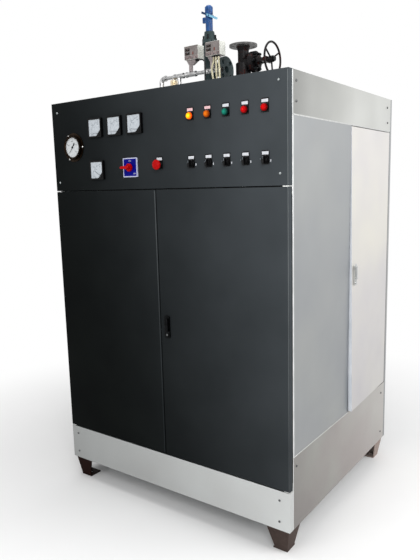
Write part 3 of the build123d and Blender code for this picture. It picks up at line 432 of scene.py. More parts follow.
legend_pink = moulding("legend plate lit by the amber lamp", "#e8bcc0", "#f2ced0", 0.4, 0.05, 0.3)
dark_window = moulding("smoked window", "#14110f", "#241d19", 0.2, 0.05, 0.2)
ink = moulding("black printing ink", "#121416", "#1d2022", 0.6, 0.05, 0.2)
grey_ink = moulding("grey printing ink", "#6d767e", "#858e95", 0.6, 0.05, 0.2)
cable_jacket = moulding("dark cable jacket", "#161617", "#222223", 0.5, 0.2, 0.2)
lead_cloth = sleeving("cream glass-fibre sleeving", "#a39c7e", "#d9d2b6", 1.6)

KNOBS = [f"selector_knob_{number}" for number in range(1, 6)]
CAD_FINISHES = {
    door_coat: ["instrument_panel", "front_door_left", "front_door_right"],
    side_sheet: ["right_front_panel", "left_front_panel", "left_rear_panel", "back_panel"],
    door_sheet: ["side_door"],
    top_sheet: ["right_top_band", "left_top_band"],
    foot_sheet: ["right_bottom_band", "left_bottom_band"],
    skirt_sheet: ["front_skirt"],
    roof_sheet: ["roof_panel"],
    zinc_sheet: ["floor_plate", "mounting_plate"],
    zinc_and_seam_highlight: ["front_hinge_brackets", "side_hinge_brackets", "stop_valve_stem"],
    pipe_steel: ["steam_nozzles", "steam_header"],
    brass: ["header_coupling"],
    foot_paint: ["corner_feet"],
    frame_paint: ["frame_cross_rails", "frame_side_rails", "frame_posts", "drum_saddles"],
    drum_paint: ["boiler_drum"],
    bonnet_paint: ["safety_valve_bonnet"],
    lever_paint: ["safety_valve_lever"],
    valve_iron: ["stop_valve_body", "stop_valve_bonnet", "stop_valve_handwheel"],
    body_iron: ["safety_valve_body"],
    switch_enamel: ["pressure_switch_left", "pressure_switch_right"],
    black_moulding: ["meter_cases", "pilot_bezels", "selector_collars", *KNOBS, "legend_holders",
                     "stop_button_collar", "cable_glands"],
    frame_moulding: ["main_switch_plate"],
    red_moulding: ["main_switch_handle", "stop_button"],
    dial_print: ["meter_dials"],
    gauge_card: ["pressure_gauge_dial"],
    gauge_bezel: ["pressure_gauge"],
    lock_metal: ["front_door_lock"],
    lock_chrome: ["side_door_lock"],
    lead_cloth: ["switch_lead_1", "switch_lead_2", "switch_lead_3"],
    cable_jacket: ["switch_cable"],
}

for finish, names in CAD_FINISHES.items():
    for name in names:
        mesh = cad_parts[name].data
        mesh.materials.clear()
        mesh.materials.append(finish)

# The stop valve's outlet flange is a lighter grey than the body: painted light where the flange catches it
stop_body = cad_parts["stop_valve_body"].data
stop_body.materials.append(flange_painted_light)
for face in stop_body.polygons:
    if face.center.z > OUTLET_FLANGE:
        face.material_index = 1


# Mesh helpers

def piece(name, bm, finish, body="cabinet", smooth_angle=35, bevel_mm=0.0):
    """Makes an object of a mesh, gives it its finish and lets it ride on its body."""
    mesh = bpy.data.meshes.new(name)
    bm.to_mesh(mesh)
    bm.free()
    made = bpy.data.objects.new(name, mesh)
    bpy.context.collection.objects.link(made)
    mesh.materials.append(finish)
    if bevel_mm:
        bevel = made.modifiers.new("rounded edges", "BEVEL")
        bevel.width = bevel_mm * MM
        bevel.segments = 2
        bevel.limit_method = "ANGLE"
        bevel.angle_limit = math.radians(40)
    mesh.polygons.foreach_set("use_smooth", [True] * len(mesh.polygons))
    if smooth_angle:
        mesh.set_sharp_from_angle(angle=math.radians(smooth_angle))
    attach(made, body)
    return made


def moved_mm(at, x, y, z=0.0):
    """The frame, moved along its own axes."""
    return at @ Matrix.Translation((x * MM, y * MM, z * MM))


def turned(bm, at, profile, segments=48, flutes=0, flute_depth=0.0):
    """Surface turned about Z from (radius, height) pairs; ends on the axis close it.
    Flutes are shallow hollows around it."""
    rings = []
    for radius, height in profile:
        if radius == 0:
            rings.append([bm.verts.new(at @ Vector((0, 0, height * MM)))])
            continue
        ring = []
        for i in range(segments):
            turn = math.tau * i / segments
            reach = (radius - flute_depth * (0.5 - 0.5 * math.cos(flutes * turn))) * MM
            ring.append(bm.verts.new(at @ Vector((reach * math.cos(turn), reach * math.sin(turn),
                                                  height * MM))))
        rings.append(ring)
    for low, high in zip(rings, rings[1:]):
        for i in range(segments):
            j = (i + 1) % segments
            corners = [low[i % len(low)], low[j % len(low)], high[j % len(high)], high[i % len(high)]]
            distinct = list(dict.fromkeys(corners))
            if len(distinct) > 2:
                bm.faces.new(distinct)


def raised(bm, at, outline, low, high):
    """Plate with a straight-sided outline, between two heights along Z."""
    floor = [bm.verts.new(at @ Vector((x * MM, y * MM, low * MM))) for x, y in outline]
    roof = [bm.verts.new(at @ Vector((x * MM, y * MM, high * MM))) for x, y in outline]
    bm.faces.new(floor[::-1])
    bm.faces.new(roof)
    for i in range(len(outline)):
        j = (i + 1) % len(outline)
        bm.faces.new((floor[i], floor[j], roof[j], roof[i]))


def oblong(width, height, x=0.0, y=0.0):
    """Outline of a rectangle about a middle."""
    return [(x - width / 2, y - height / 2), (x + width / 2, y - height / 2),
            (x + width / 2, y + height / 2), (x - width / 2, y + height / 2)]


def screw_head(bm, at, radius):
    """Domed head of a screw, whose height follows its radius."""
    brim, shoulder, crown = radius * 0.25, radius * 0.5, radius * 0.62
    turned(bm, at, [(radius, 0), (radius, brim), (radius * 0.8, shoulder), (radius * 0.35, crown),
                    (0, crown)], segments=20)


def nut_and_stud(bm, at, across, thickness, stud, proud):
    """Hexagon nut on a washer, with a stud's end standing out of it."""
    washer, chamfer = 2, 1.5
    corner = across / math.sqrt(3)
    turned(bm, at, [(across * 0.62, 0), (across * 0.62, washer), (across * 0.5, washer)], segments=24)
    turned(bm, at, [(corner, washer), (corner, thickness - chamfer), (corner * 0.9, thickness),
                    (stud, thickness)], segments=6)
    turned(bm, at, [(stud, thickness), (stud, thickness + proud - 1), (stud - 1, thickness + proud),
                    (0, thickness + proud)], segments=16)


def on_front(x, z, out=0.0):
    """Frame on the front face: X to the right, Y up, Z towards the viewer."""
    return Matrix.Translation((from_left(x), FRONT - out, z)) @ Matrix.Rotation(QUARTER_TURN, 4, "X")


def on_panel(across_share, up_share, shift=0.0):
    """Place of an instrument, from its shares of the panel's width and height."""
    return on_front(across_share * WIDTH + shift, DOOR_HEAD + up_share * PANEL_HEIGHT)


def on_side(y, z, out=0.0):
    """Frame on the right side: X to the rear, Y up, Z away from the cabinet."""
    return (Matrix.Translation((SIDE + out, y, z)) @ Matrix.Rotation(QUARTER_TURN, 4, "Z")
            @ Matrix.Rotation(QUARTER_TURN, 4, "X"))


def lettered(bm, at, text, height, x, y, low):
    """A number or a plain word in relief, about a middle."""
    relief = 0.1
    letters = bpy.data.curves.new("letters", "FONT")
    letters.body = text
    letters.size = height * MM
    letters.align_x = "CENTER"
    letters.align_y = "CENTER"
    letters.extrude = relief * MM
    letters.resolution_u = 3
    holder = bpy.data.objects.new("letters", letters)
    bpy.context.collection.objects.link(holder)
    bpy.context.view_layer.update()
    mesh = bpy.data.meshes.new_from_object(holder)
    mesh.transform(moved_mm(at, x, y, low + relief))
    bm.from_mesh(mesh)
    bpy.data.objects.remove(holder)
    bpy.data.meshes.remove(mesh)
    bpy.data.curves.remove(letters)


def arc_band(bm, at, centre, inner, outer, start, end, low, high, steps=24):
    """Flat band along an arc, between two angles in degrees."""
    angles = [math.radians(start + (end - start) * i / steps) for i in range(steps + 1)]
    outline = [(centre[0] + outer * math.cos(t), centre[1] + outer * math.sin(t)) for t in angles]
    outline += [(centre[0] + inner * math.cos(t), centre[1] + inner * math.sin(t))
                for t in reversed(angles)]
    raised(bm, at, outline, low, high)


def radial_bar(bm, at, centre, angle, inner, outer, inner_width, outer_width, low, high):
    """Bar that runs outwards from a centre, such as a tick or a pointer."""
    along = Vector((math.cos(math.radians(angle)), math.sin(math.radians(angle))))
    across = Vector((-along.y, along.x))
    middle = Vector(centre)
    corners = [middle + along * inner - across * inner_width / 2,
               middle + along * outer - across * outer_width / 2,
               middle + along * outer + across * outer_width / 2,
               middle + along * inner + across * inner_width / 2]
    raised(bm, at, [tuple(c) for c in corners], low, high)


# Screws of the sheets: places in metres from the left edge or the front, and from the floor

PANEL_SCREWS = ((0.035, 1.743), (1.163, 1.750), (0.027, 1.436), (1.167, 1.440))
SKIRT_SCREWS = ((0.038, 0.225), (0.038, 0.133), (1.156, 0.222), (1.155, 0.135))
BAND_SCREWS = ((0.057, 1.750), (0.057, 1.682), (0.977, 1.744), (0.984, 1.676),
               (0.055, 0.350), (0.977, 0.350), (0.977, 0.144))
BACK_SCREW_ROWS = (0.030, 0.600, 1.170)
BACK_SCREW_HEIGHTS = (0.140, 0.680, 1.210, 1.745)
PANEL_SCREW_MM = 4.6
BAND_SCREW_MM = 4.8
BACK_SCREW_MM = 4.0
BAND_SCREW_SUNK = 0.0026
BACK_SCREW_SUNK = 0.0021


def panel_screws():
    """Galvanised screws in the corners of the instrument panel."""
    screws = bmesh.new()
    for x, z in PANEL_SCREWS:
        screw_head(screws, on_front(x, z), PANEL_SCREW_MM)
    piece("panel_screws", screws, zinc_sheet)


def sheet_screws():
    """Screws of the skirt, the bands and the back; on the left and the back they are sunk."""
    screws = bmesh.new()
    mirrored = Matrix.Scale(-1, 4, (1, 0, 0))
    turned_back = Matrix.Rotation(math.pi, 4, "Z")
    for x, z in SKIRT_SCREWS:
        screw_head(screws, on_front(x, z), BAND_SCREW_MM)
    for y, z in BAND_SCREWS:
        screw_head(screws, on_side(FRONT + y, z), BAND_SCREW_MM)
        screw_head(screws, mirrored @ on_side(FRONT + y, z, -BAND_SCREW_SUNK), BAND_SCREW_MM)
    for x in BACK_SCREW_ROWS:
        for z in BACK_SCREW_HEIGHTS:
            screw_head(screws, turned_back @ on_front(x, z, -BACK_SCREW_SUNK), BACK_SCREW_MM)
    bmesh.ops.recalc_face_normals(screws, faces=screws.faces)
    piece("sheet_screws", screws, screw_steel)


panel_screws()
sheet_screws()


# Folded edges that catch the light, in metres

SEAM = 0.002
SHEET_FOLD = 0.010
TOP_BAND_FOLD = 0.007
FOOT_BAND_FOLD = 0.004
HIGH_SEAM_FOLD = 0.005
HIGH_SEAM_ENDS = 0.06
LOW_SEAM_FOLD = 0.003
DOOR_FOLD = 0.003
SPLIT_FOLD = 0.005
SPLIT_FOLD_PLACE = WIDTH / 2 - 0.0065
DOOR_FOLD_ENDS = 0.01


def fold_edge(name, strips, finish, body="cabinet"):
    """Thin rounded strips, light in tone, that paint the highlight along an edge; each strip is a place, a
    width and a height in metres.
    """
    edges = bmesh.new()
    for at, wide, high in strips:
        raised(edges, at, oblong(wide / MM, high / MM), low=-0.3, high=0.5)
    piece(name, edges, finish, body, bevel_mm=0.35)


def side_upright(low, high, wide):
    """Strip up the front edge of the right side."""
    return on_side(CARCASS + wide / 2, (low + high) / 2), wide, high - low


def front_upright(x, low, high, wide):
    """Strip up the front, a little short of both ends."""
    return on_front(x, (low + high) / 2), wide, high - low - DOOR_FOLD_ENDS


fold_edge("side_sheet_folds", [
    side_upright(SIDE_SPLIT_LOW, SIDE_SPLIT_HIGH, SHEET_FOLD),
    side_upright(SIDE_SPLIT_HIGH + SEAM, TOP - SEAM, TOP_BAND_FOLD),
    side_upright(FEET + SEAM, SIDE_SPLIT_LOW - SEAM, FOOT_BAND_FOLD)], fold_highlight)
# The seams: bright strips of painted highlight, where light catches the top edge of the lower sheet
fold_edge("side_seam_folds", [
    (on_side(0.0, SIDE_SPLIT_HIGH), DEPTH - HIGH_SEAM_ENDS, HIGH_SEAM_FOLD),
    (on_side((CARCASS + SIDE_DOOR_FRONT) / 2, SIDE_SPLIT_LOW - SEAM), SIDE_DOOR_FRONT - CARCASS,
     LOW_SEAM_FOLD)], zinc_and_seam_highlight)
fold_edge("front_door_right_edge", [
    front_upright(WIDTH - DOOR_FOLD, DOOR_FOOT, DOOR_HEAD, DOOR_FOLD)], door_edge_highlight, "front_door_right")
fold_edge("front_door_left_edge", [
    front_upright(SPLIT_FOLD_PLACE, DOOR_FOOT, DOOR_HEAD, SPLIT_FOLD)], door_edge_highlight, "front_door_left")
fold_edge("instrument_panel_edge", [
    front_upright(WIDTH - DOOR_FOLD, DOOR_HEAD, TOP, DOOR_FOLD)], door_edge_highlight)


def side_door_edge():
    """The side door's front edge stands proud of the cabinet: a thin skin over its front face, white as a
    painted highlight.
    """
    facing = Vector((0, -1, 0))
    depth_mm = 3
    skin_mm = 0.25
    source = bmesh.new()
    source.from_mesh(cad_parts["side_door"].data)
    source.normal_update()
    wanted = [f for f in source.faces if f.normal.dot(facing) > 0.97]
    reach = max(f.calc_center_median().dot(facing) for f in wanted)
    wanted = [f for f in wanted if f.calc_center_median().dot(facing) > reach - depth_mm * MM]
    skin = bmesh.new()
    for face in wanted:
        skin.faces.new([skin.verts.new(v.co + facing * skin_mm * MM) for v in face.verts])
    source.free()
    bmesh.ops.remove_doubles(skin, verts=skin.verts, dist=1e-6)
    piece("side_door_edge", skin, side_door_highlight, "side_door")


side_door_edge()


# Pressure gauge: scale, numbers, pointer, rim and flange screws

GAUGE_AT = on_panel(0.111, 0.491)
GAUGE_CARD_MM = 9.0
PRINT_MM = 0.1
GAUGE_START = 225
GAUGE_SWEEP = 270
GAUGE_TICKS = 40
GAUGE_TICKS_PER_MARK = 5
GAUGE_NUMBERS = ("0", "0.4", "0.8", "1.2", "1.6")
GAUGE_POINTER_ANGLE = 231
GAUGE_RIM_MM = [(42.2, 9.2), (42.2, 11.0), (46.2, 13.4), (48.6, 14.0), (50.8, 14.0), (52.0, 12.8),
                (52.0, 10.0)]
GAUGE_HUB_MM = [(0, 9), (4.5, 9), (4.5, 11.6), (3.4, 12.4), (0, 12.4)]


def gauge_scale():
    """Arc, ticks and numbers from 0 to 1.6, printed on the card."""
    marks = bmesh.new()
    print_top = GAUGE_CARD_MM + PRINT_MM
    outer, line, long_tick, short_tick = 40.0, 0.6, 6.5, 3.5
    number_radius, number_height = 27, 8.5
    arc_band(marks, GAUGE_AT, (0, 0), outer - line, outer, GAUGE_START - GAUGE_SWEEP, GAUGE_START,
             GAUGE_CARD_MM, print_top, steps=60)
    for i in range(GAUGE_TICKS + 1):
        angle = GAUGE_START - GAUGE_SWEEP * i / GAUGE_TICKS
        long, wide = (long_tick, 1.0) if i % GAUGE_TICKS_PER_MARK == 0 else (short_tick, 0.45)
        radial_bar(marks, GAUGE_AT, (0, 0), angle, outer - long, outer, wide, wide, GAUGE_CARD_MM,
                   print_top)
    for i, number in enumerate(GAUGE_NUMBERS):
        angle = math.radians(GAUGE_START - GAUGE_SWEEP * i / (len(GAUGE_NUMBERS) - 1))
        lettered(marks, GAUGE_AT, number, number_height, number_radius * math.cos(angle),
                 number_radius * math.sin(angle), GAUGE_CARD_MM)
    piece("gauge_scale", marks, ink, smooth_angle=0)


def gauge_pointer():
    """Pointer with a broad tail, on its hub."""
    pointer = bmesh.new()
    radial_bar(pointer, GAUGE_AT, (0, 0), GAUGE_POINTER_ANGLE, inner=0, outer=33, inner_width=2.6,
               outer_width=0.7, low=10.4, high=11.0)
    radial_bar(pointer, GAUGE_AT, (0, 0), GAUGE_POINTER_ANGLE - 180, inner=0, outer=22, inner_width=3.6,
               outer_width=7.4, low=10.4, high=11.0)
    turned(pointer, GAUGE_AT, GAUGE_HUB_MM, segments=24)
    piece("gauge_pointer", pointer, ink)


def gauge_rim():
    """Turned rim that holds the glass, and three screws in the flange behind it."""
    screw_radius, screw_circle, flange_mm = 4.2, 57.2, 3
    rim = bmesh.new()
    turned(rim, GAUGE_AT, GAUGE_RIM_MM, segments=72)
    piece("gauge_rim", rim, gauge_bezel)
    screws = bmesh.new()
    for turn in (0, 120, 240):
        spoke = GAUGE_AT @ Matrix.Rotation(math.radians(turn), 4, "Z")
        screw_head(screws, moved_mm(spoke, screw_circle, 0, flange_mm), screw_radius)
    piece("gauge_flange_screws", screws, zinc_and_seam_highlight)


gauge_scale()
gauge_pointer()
gauge_rim()


# Square meters: quarter-circle scale about the lower right corner, pointer and corner cover

METER_SHARES = [(0.2333, 0.6787), (0.3275, 0.6787), (0.4217, 0.6787), (0.2325, 0.2237)]
METER_TOP_VALUES = (100, 100, 100, 500)
METER_NEEDLE_ANGLES = (176, 176, 176, 150)
METER_PIVOT = (24.0, -24.0)
METER_CARD_MM = 11.0
METER_ARC = (92, 178)
METER_NUMBERS_ARC = (96, 174)
METER_NUMBERS_REACH = (36.5, 38)
METER_UNIT_RING = (-16, 14)
METER_PRINT_LEFT = -22
METER_PRINT_LINES = ((-26, 12), (-29, 16))
METER_NEEDLE_LONG = 43
METER_NEEDLE_MM = (11.6, 12.0)
METER_COVER_MM = (10.2, 13.4)
METER_SCREW_PLACE = 28.5
METER_COVER_OUTLINE = [(34, -34), (34, -7), (31, -14), (26.5, -20.5), (20.5, -26.5), (14, -31),
                       (7, -34)]
METER_SCREW_MM = [(3, 0), (3, 0.8), (2.4, 1.2), (0, 1.2)]


def meter_scale(scales, at, top_value):
    """Arc with ticks, three numbers, a ring and two lines for the small print."""
    ticks, ticks_per_mark, radius, line = 20, 5, 45.0, 0.7
    low, high = METER_CARD_MM, METER_CARD_MM + PRINT_MM
    arc_band(scales, at, METER_PIVOT, radius, radius + line, *METER_ARC, low, high)
    right, left = METER_ARC
    for i in range(ticks + 1):
        long, wide = (5.0, 0.9) if i % ticks_per_mark == 0 else (2.6, 0.4)
        radial_bar(scales, at, METER_PIVOT, left - (left - right) * i / ticks, radius + line,
                   radius + line + long, wide, wide, low, high)
    right, left = METER_NUMBERS_ARC
    for i in range(3):
        angle = math.radians(left - (left - right) * i / 2)
        lettered(scales, at, str(top_value * i // 2), height=5.6,
                 x=METER_PIVOT[0] + METER_NUMBERS_REACH[0] * math.cos(angle),
                 y=METER_PIVOT[1] + METER_NUMBERS_REACH[1] * math.sin(angle), low=METER_CARD_MM)
    arc_band(scales, at, METER_UNIT_RING, inner=3.2, outer=3.9, start=0, end=360, low=low, high=high)
    for y, long in METER_PRINT_LINES:
        radial_bar(scales, at, (METER_PRINT_LEFT, y), angle=0, inner=0, outer=long, inner_width=0.8,
                   outer_width=0.8, low=low, high=high)


def square_meters():
    """What the four meters show through their windows, and their corner covers."""
    scales, needles, covers, screws = (bmesh.new() for _ in range(4))
    for shares, top_value, angle in zip(METER_SHARES, METER_TOP_VALUES, METER_NEEDLE_ANGLES):
        at = on_panel(*shares)
        meter_scale(scales, at, top_value)
        low, high = METER_NEEDLE_MM
        radial_bar(needles, at, METER_PIVOT, angle, inner=0, outer=METER_NEEDLE_LONG, inner_width=1.4,
                   outer_width=0.6, low=low, high=high)
        raised(covers, at, METER_COVER_OUTLINE, *METER_COVER_MM)
        screw_at = moved_mm(at, METER_SCREW_PLACE, -METER_SCREW_PLACE, METER_COVER_MM[1])
        turned(screws, screw_at, METER_SCREW_MM, segments=20)
    piece("meter_scales", scales, grey_ink, smooth_angle=0)
    piece("meter_needles", needles, ink)
    piece("meter_corner_covers", covers, black_moulding, bevel_mm=0.8)
    piece("meter_zero_screws", screws, black_moulding)


square_meters()


# Main switch: blue face with its words, and the red handle

SWITCH_AT = on_panel(0.3917, 0.2339)
SWITCH_FACE_MM = (5.0, 5.8)
SWITCH_FACE_WIDE = 69.5
HANDLE_BASE_OUTLINE = [(16.5, 0), (14.5, 6), (10.5, 11.5), (5, 15.5), (0, 16.6), (-5, 15.5), (-10, 11),
                       (-14, 7), (-14, -7), (-10, -11), (-5, -15.5), (0, -16.6), (5, -15.5),
                       (10.5, -11.5), (14.5, -6)]
HANDLE_GRIP_OUTLINE = [(16.5, 0), (14.5, 5), (7, 6.5), (-22, 5.5), (-30.5, 4), (-32.6, 0),
                       (-30.5, -4), (-22, -5.5), (7, -6.5), (14.5, -5)]
HANDLE_BASE_MM = (6.2, 18)
HANDLE_GRIP_MM = (17, 34)


def main_switch():
    """Face, words, and a finer handle in place of the solid one."""
    face = bmesh.new()
    raised(face, SWITCH_AT, oblong(SWITCH_FACE_WIDE, SWITCH_FACE_WIDE), *SWITCH_FACE_MM)
    piece("main_switch_face", face, blue_face, bevel_mm=0.4)
    words = bmesh.new()
    for word, x, y in (("ON", 0, 26), ("OFF", 23.5, -26)):
        lettered(words, SWITCH_AT, word, height=8, x=x, y=y, low=SWITCH_FACE_MM[1])
    piece("main_switch_words", words, legend_white, smooth_angle=0)
    handle = bmesh.new()
    raised(handle, SWITCH_AT, HANDLE_BASE_OUTLINE, *HANDLE_BASE_MM)
    raised(handle, SWITCH_AT, HANDLE_GRIP_OUTLINE, *HANDLE_GRIP_MM)
    handle_piece = piece("main_switch_grip", handle, red_moulding, "main_switch_handle",
                         smooth_angle=30, bevel_mm=2.0)
    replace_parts(handle_piece, "main_switch_handle")


main_switch()


# Pilot lamps, selectors and stop button

ROW_PITCH = 0.081
ROW_SHIFTS = [ROW_PITCH * (i - 2) for i in range(5)]
PILOTS_AT = [on_panel(0.79, 0.6915, shift) for shift in ROW_SHIFTS]
SELECTORS_AT = [on_panel(0.79, 0.2391, shift) for shift in ROW_SHIFTS]
STOP_BUTTON_AT = on_panel(0.5225, 0.2455)
AMBER_LAMPS = 2
LENS_COLOURS = [("lit amber lens", "#d8460a", "#ffd418", 0.75),
                ("dim amber lens", "#8a3406", "#e2720f", 0.15),
                ("green lens", "#07302c", "#1c8a74", 0.06),
                ("red lens", "#7a0306", "#d6060a", 0.14),
                ("dark red lens", "#760306", "#d20508", 0.14)]
LENS_PROFILE_MM = [(12.4, 3), (12.9, 6.5), (12.9, 9), (12.2, 12.6), (10.2, 15.2), (7, 17),
                   (3.5, 17.8), (0, 18)]
LENS_MIDDLE_MM = 16
STOP_BUTTON_PROFILE_MM = [(0, -21), (8, -21), (8, 17), (15, 17.2), (19.2, 18.6), (20, 20.6), (19.7, 23.4),
                          (17.8, 26.2), (13.5, 28.2), (7, 28.9), (0, 29)]
LEGEND_PLATE = oblong(26, 10.5, 0, 22.4)
LEGEND_PLATE_MM = (2.0, 2.7)
SELECTOR_RING = (-19.5, 3)
SELECTOR_BAR = oblong(3.6, 8.5, 20.2, -4.5)
SELECTOR_PRINT_MM = 0.4
KNOB_LINE = oblong(1.6, 9, 0, 7)
KNOB_LINE_MM = (23.0, 23.3)


def pilot_lenses():
    """Ribbed lenses, one material each, in place of the solid ones."""
    for number, (at, colours) in enumerate(zip(PILOTS_AT, LENS_COLOURS), 1):
        label, edge_colour, centre_colour, glow = colours
        lens = bmesh.new()
        turned(lens, at, LENS_PROFILE_MM, segments=96, flutes=24, flute_depth=0.35)
        middle = at @ Vector((0, 0, LENS_MIDDLE_MM * MM))
        shade = lens_plastic(label, edge_colour, centre_colour, glow, middle)
        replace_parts(piece(f"pilot_lens_{number}", lens, shade), "pilot_lenses")


def legend_plates():
    """Plates in the legend holders; those by the amber lamps look pink."""
    pink_legends = bmesh.new()
    white_legends = bmesh.new()
    for number, at in enumerate(PILOTS_AT + SELECTORS_AT + [STOP_BUTTON_AT]):
        plates = pink_legends if number < AMBER_LAMPS else white_legends
        raised(plates, at, LEGEND_PLATE, *LEGEND_PLATE_MM)
    piece("legend_plates", white_legends, legend_white, bevel_mm=0.3)
    piece("legend_plates_by_amber_lamps", pink_legends, legend_pink, bevel_mm=0.3)


def selector_marks():
    """A printed ring and bar on the panel beside each selector, and a line on its knob."""
    right_marks = bmesh.new()
    left_marks = bmesh.new()
    for at in SELECTORS_AT:
        arc_band(left_marks, at, SELECTOR_RING, inner=1.8, outer=3.4, start=0, end=360, low=0,
                 high=SELECTOR_PRINT_MM)
        raised(right_marks, at, SELECTOR_BAR, low=0, high=SELECTOR_PRINT_MM)
    piece("selector_left_marks", left_marks, grey_ink, smooth_angle=0)
    piece("selector_right_marks", right_marks, legend_white, smooth_angle=0)
    for number, (at, knob) in enumerate(zip(SELECTORS_AT, KNOBS), 1):
        knob_mark = bmesh.new()
        raised(knob_mark, at, KNOB_LINE, *KNOB_LINE_MM)
        piece(f"selector_mark_{number}", knob_mark, grey_ink, knob, smooth_angle=0)


def stop_button():
    """Mushroom head and its shank, in place of the solid one."""
    mushroom = bmesh.new()
    turned(mushroom, STOP_BUTTON_AT, STOP_BUTTON_PROFILE_MM, segments=72)
    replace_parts(piece("stop_mushroom", mushroom, red_moulding, "stop_button"), "stop_button")


pilot_lenses()
legend_plates()
selector_marks()
stop_button()


# Bolts and nuts of the flanges

SAFETY_VALVE_AT = Matrix.Translation((from_left(SAFETY_VALVE_X), VALVES_Y, TOP))
STOP_VALVE_AT = Matrix.Translation((from_left(STOP_VALVE_X), VALVES_Y, TOP))
STEM_AT = (Matrix.Translation((from_left(STOP_VALVE_X), VALVES_Y, STOP_VALVE_STEM))
           @ Matrix.Rotation(QUARTER_TURN, 4, "Y"))
GLAND_PROFILE_MM = [(8.6, 90), (15, 90), (15, 97), (11.5, 99), (11.5, 108), (8.6, 108)]
GLAND_STUD_MM = 17.5
WHEEL_WASHER_MM = [(13.5, 165), (13.5, 166.6), (12.8, 166.6)]
WHEEL_NUT_MM = [(12.8, 166.6), (12.8, 173), (11.6, 174.4), (0, 174.4)]


def through_bolts(bolts, centre, circle, low, high, count=4, turn=45.0, across=22.0, proud=5.0):
    """Bolts through a pair of flanges: a head below, a nut and a stud's end above."""
    stud = across * 0.33
    head_down = Matrix.Rotation(math.pi, 4, "X")
    for i in range(count):
        angle = math.radians(turn + 360 * i / count)
        x, y = circle / 2 * math.cos(angle), circle / 2 * math.sin(angle)
        nut_and_stud(bolts, moved_mm(centre, x, y, high), across, across * 0.6, stud, proud)
        nut_and_stud(bolts, moved_mm(centre, x, y, low) @ head_down, across, across * 0.45, stud,
                     proud=0.6)


def flange_bolts():
    """Bolts of both inlet flanges, of the stop valve's yoke and of the safety valve's bonnet."""
    bolts = bmesh.new()
    through_bolts(bolts, SAFETY_VALVE_AT, circle=90, low=65, high=97)
    through_bolts(bolts, STOP_VALVE_AT, circle=100, low=94, high=126)
    through_bolts(bolts, STEM_AT, circle=78, low=50, high=74, count=6, turn=30, across=15)
    through_bolts(bolts, SAFETY_VALVE_AT, circle=62, low=322, high=338, turn=20, across=13, proud=16)
    bmesh.ops.recalc_face_normals(bolts, faces=bolts.faces)
    piece("flange_bolts", bolts, black_steel)


def stem_fittings():
    """Stuffing gland with its two studs, and the nut that holds the handwheel."""
    gland = bmesh.new()
    turned(gland, STEM_AT, GLAND_PROFILE_MM, segments=32)
    for y in (-GLAND_STUD_MM, GLAND_STUD_MM):
        nut_and_stud(gland, moved_mm(STEM_AT, 0, y, GLAND_PROFILE_MM[0][1]), across=10, thickness=7,
                     stud=3.2, proud=8)
    piece("stem_gland", gland, valve_iron)
    wheel_nut = bmesh.new()
    turned(wheel_nut, STEM_AT, WHEEL_WASHER_MM, segments=24)
    turned(wheel_nut, STEM_AT, WHEEL_NUT_MM, segments=6)
    piece("handwheel_nut", wheel_nut, black_steel, "stop_valve_handwheel")


flange_bolts()
stem_fittings()


# Pressure switches: cover, scale windows, red tab and terminal screws

SWITCH_BOXES = (0.342, 0.470)
SWITCH_BOX_SHIFT = 0.013
SWITCH_BOX_FACE = HEADER_Y - 0.014
SWITCH_BOX_MIDDLE = SWITCH_BOX_FOOT + 0.0325
COVER = oblong(82, 45, 0, 8.5)
TERMINAL_STRIP = oblong(82, 16, 0, -23)
RED_TAB = oblong(6.0, 14, 12, -5)
WINDOW_X = -21.5
WINDOW_HEIGHTS = (13.5, -3.5)
WINDOW_GLASS_MM = (0.9, 1.8)
WINDOW_LINES = 9
WINDOW_LINE_PITCH = 2.5
WINDOW_POINTERS = (-20, -26)
TERMINAL_PLACES = (-32, -12, 8, 30)
TERMINAL_HEIGHT = -24.5


def scale_window(windows, lines, tabs, at, middle, pointer):
    """Smoked window with its scale lines and a red pointer."""
    glass = WINDOW_GLASS_MM[1]
    raised(windows, at, oblong(27, 13, WINDOW_X, middle), *WINDOW_GLASS_MM)
    for i in range(WINDOW_LINES):
        x = WINDOW_X + WINDOW_LINE_PITCH * (i - WINDOW_LINES // 2)
        long = 3.2 if i % 4 == 0 else 2.0
        raised(lines, at, oblong(0.5, long, x, middle + 3), glass, glass + PRINT_MM)
    raised(tabs, at, oblong(1.0, 8, pointer, middle), glass, glass + 0.4)


def pressure_switches():
    """The faces of both pressure switches."""
    covers, strips, windows, lines, tabs, terminals = (bmesh.new() for _ in range(6))
    for place in SWITCH_BOXES:
        at = (Matrix.Translation((from_left(place) + SWITCH_BOX_SHIFT, SWITCH_BOX_FACE,
                                  SWITCH_BOX_MIDDLE))
              @ Matrix.Rotation(QUARTER_TURN, 4, "X"))
        raised(covers, at, COVER, low=-0.5, high=1.0)
        raised(strips, at, TERMINAL_STRIP, low=-0.5, high=0.8)
        for middle, pointer in zip(WINDOW_HEIGHTS, WINDOW_POINTERS):
            scale_window(windows, lines, tabs, at, middle, pointer)
        raised(tabs, at, RED_TAB, low=0.9, high=2.6)
        for x in TERMINAL_PLACES:
            screw_head(terminals, moved_mm(at, x, TERMINAL_HEIGHT), radius=3.4)
    piece("switch_covers", covers, cover_in_painted_shade, bevel_mm=0.5)
    piece("switch_terminal_strips", strips, terminal_resin, bevel_mm=0.5)
    piece("switch_windows", windows, dark_window, bevel_mm=0.4)
    piece("switch_scale_lines", lines, legend_white, smooth_angle=0)
    piece("switch_red_tabs", tabs, tab_red, bevel_mm=0.3)
    piece("switch_terminal_screws", terminals, screw_steel)


pressure_switches()


# Key cylinder at the foot of the front door's lock

FRONT_LOCK_AT = on_front(0.637, FEET + 0.733)
CYLINDER_PROFILE_MM = [(4.6, -1), (4.6, 0.8), (4.0, 1.4), (1.6, 1.4), (1.6, 0.8), (0, 0.8)]

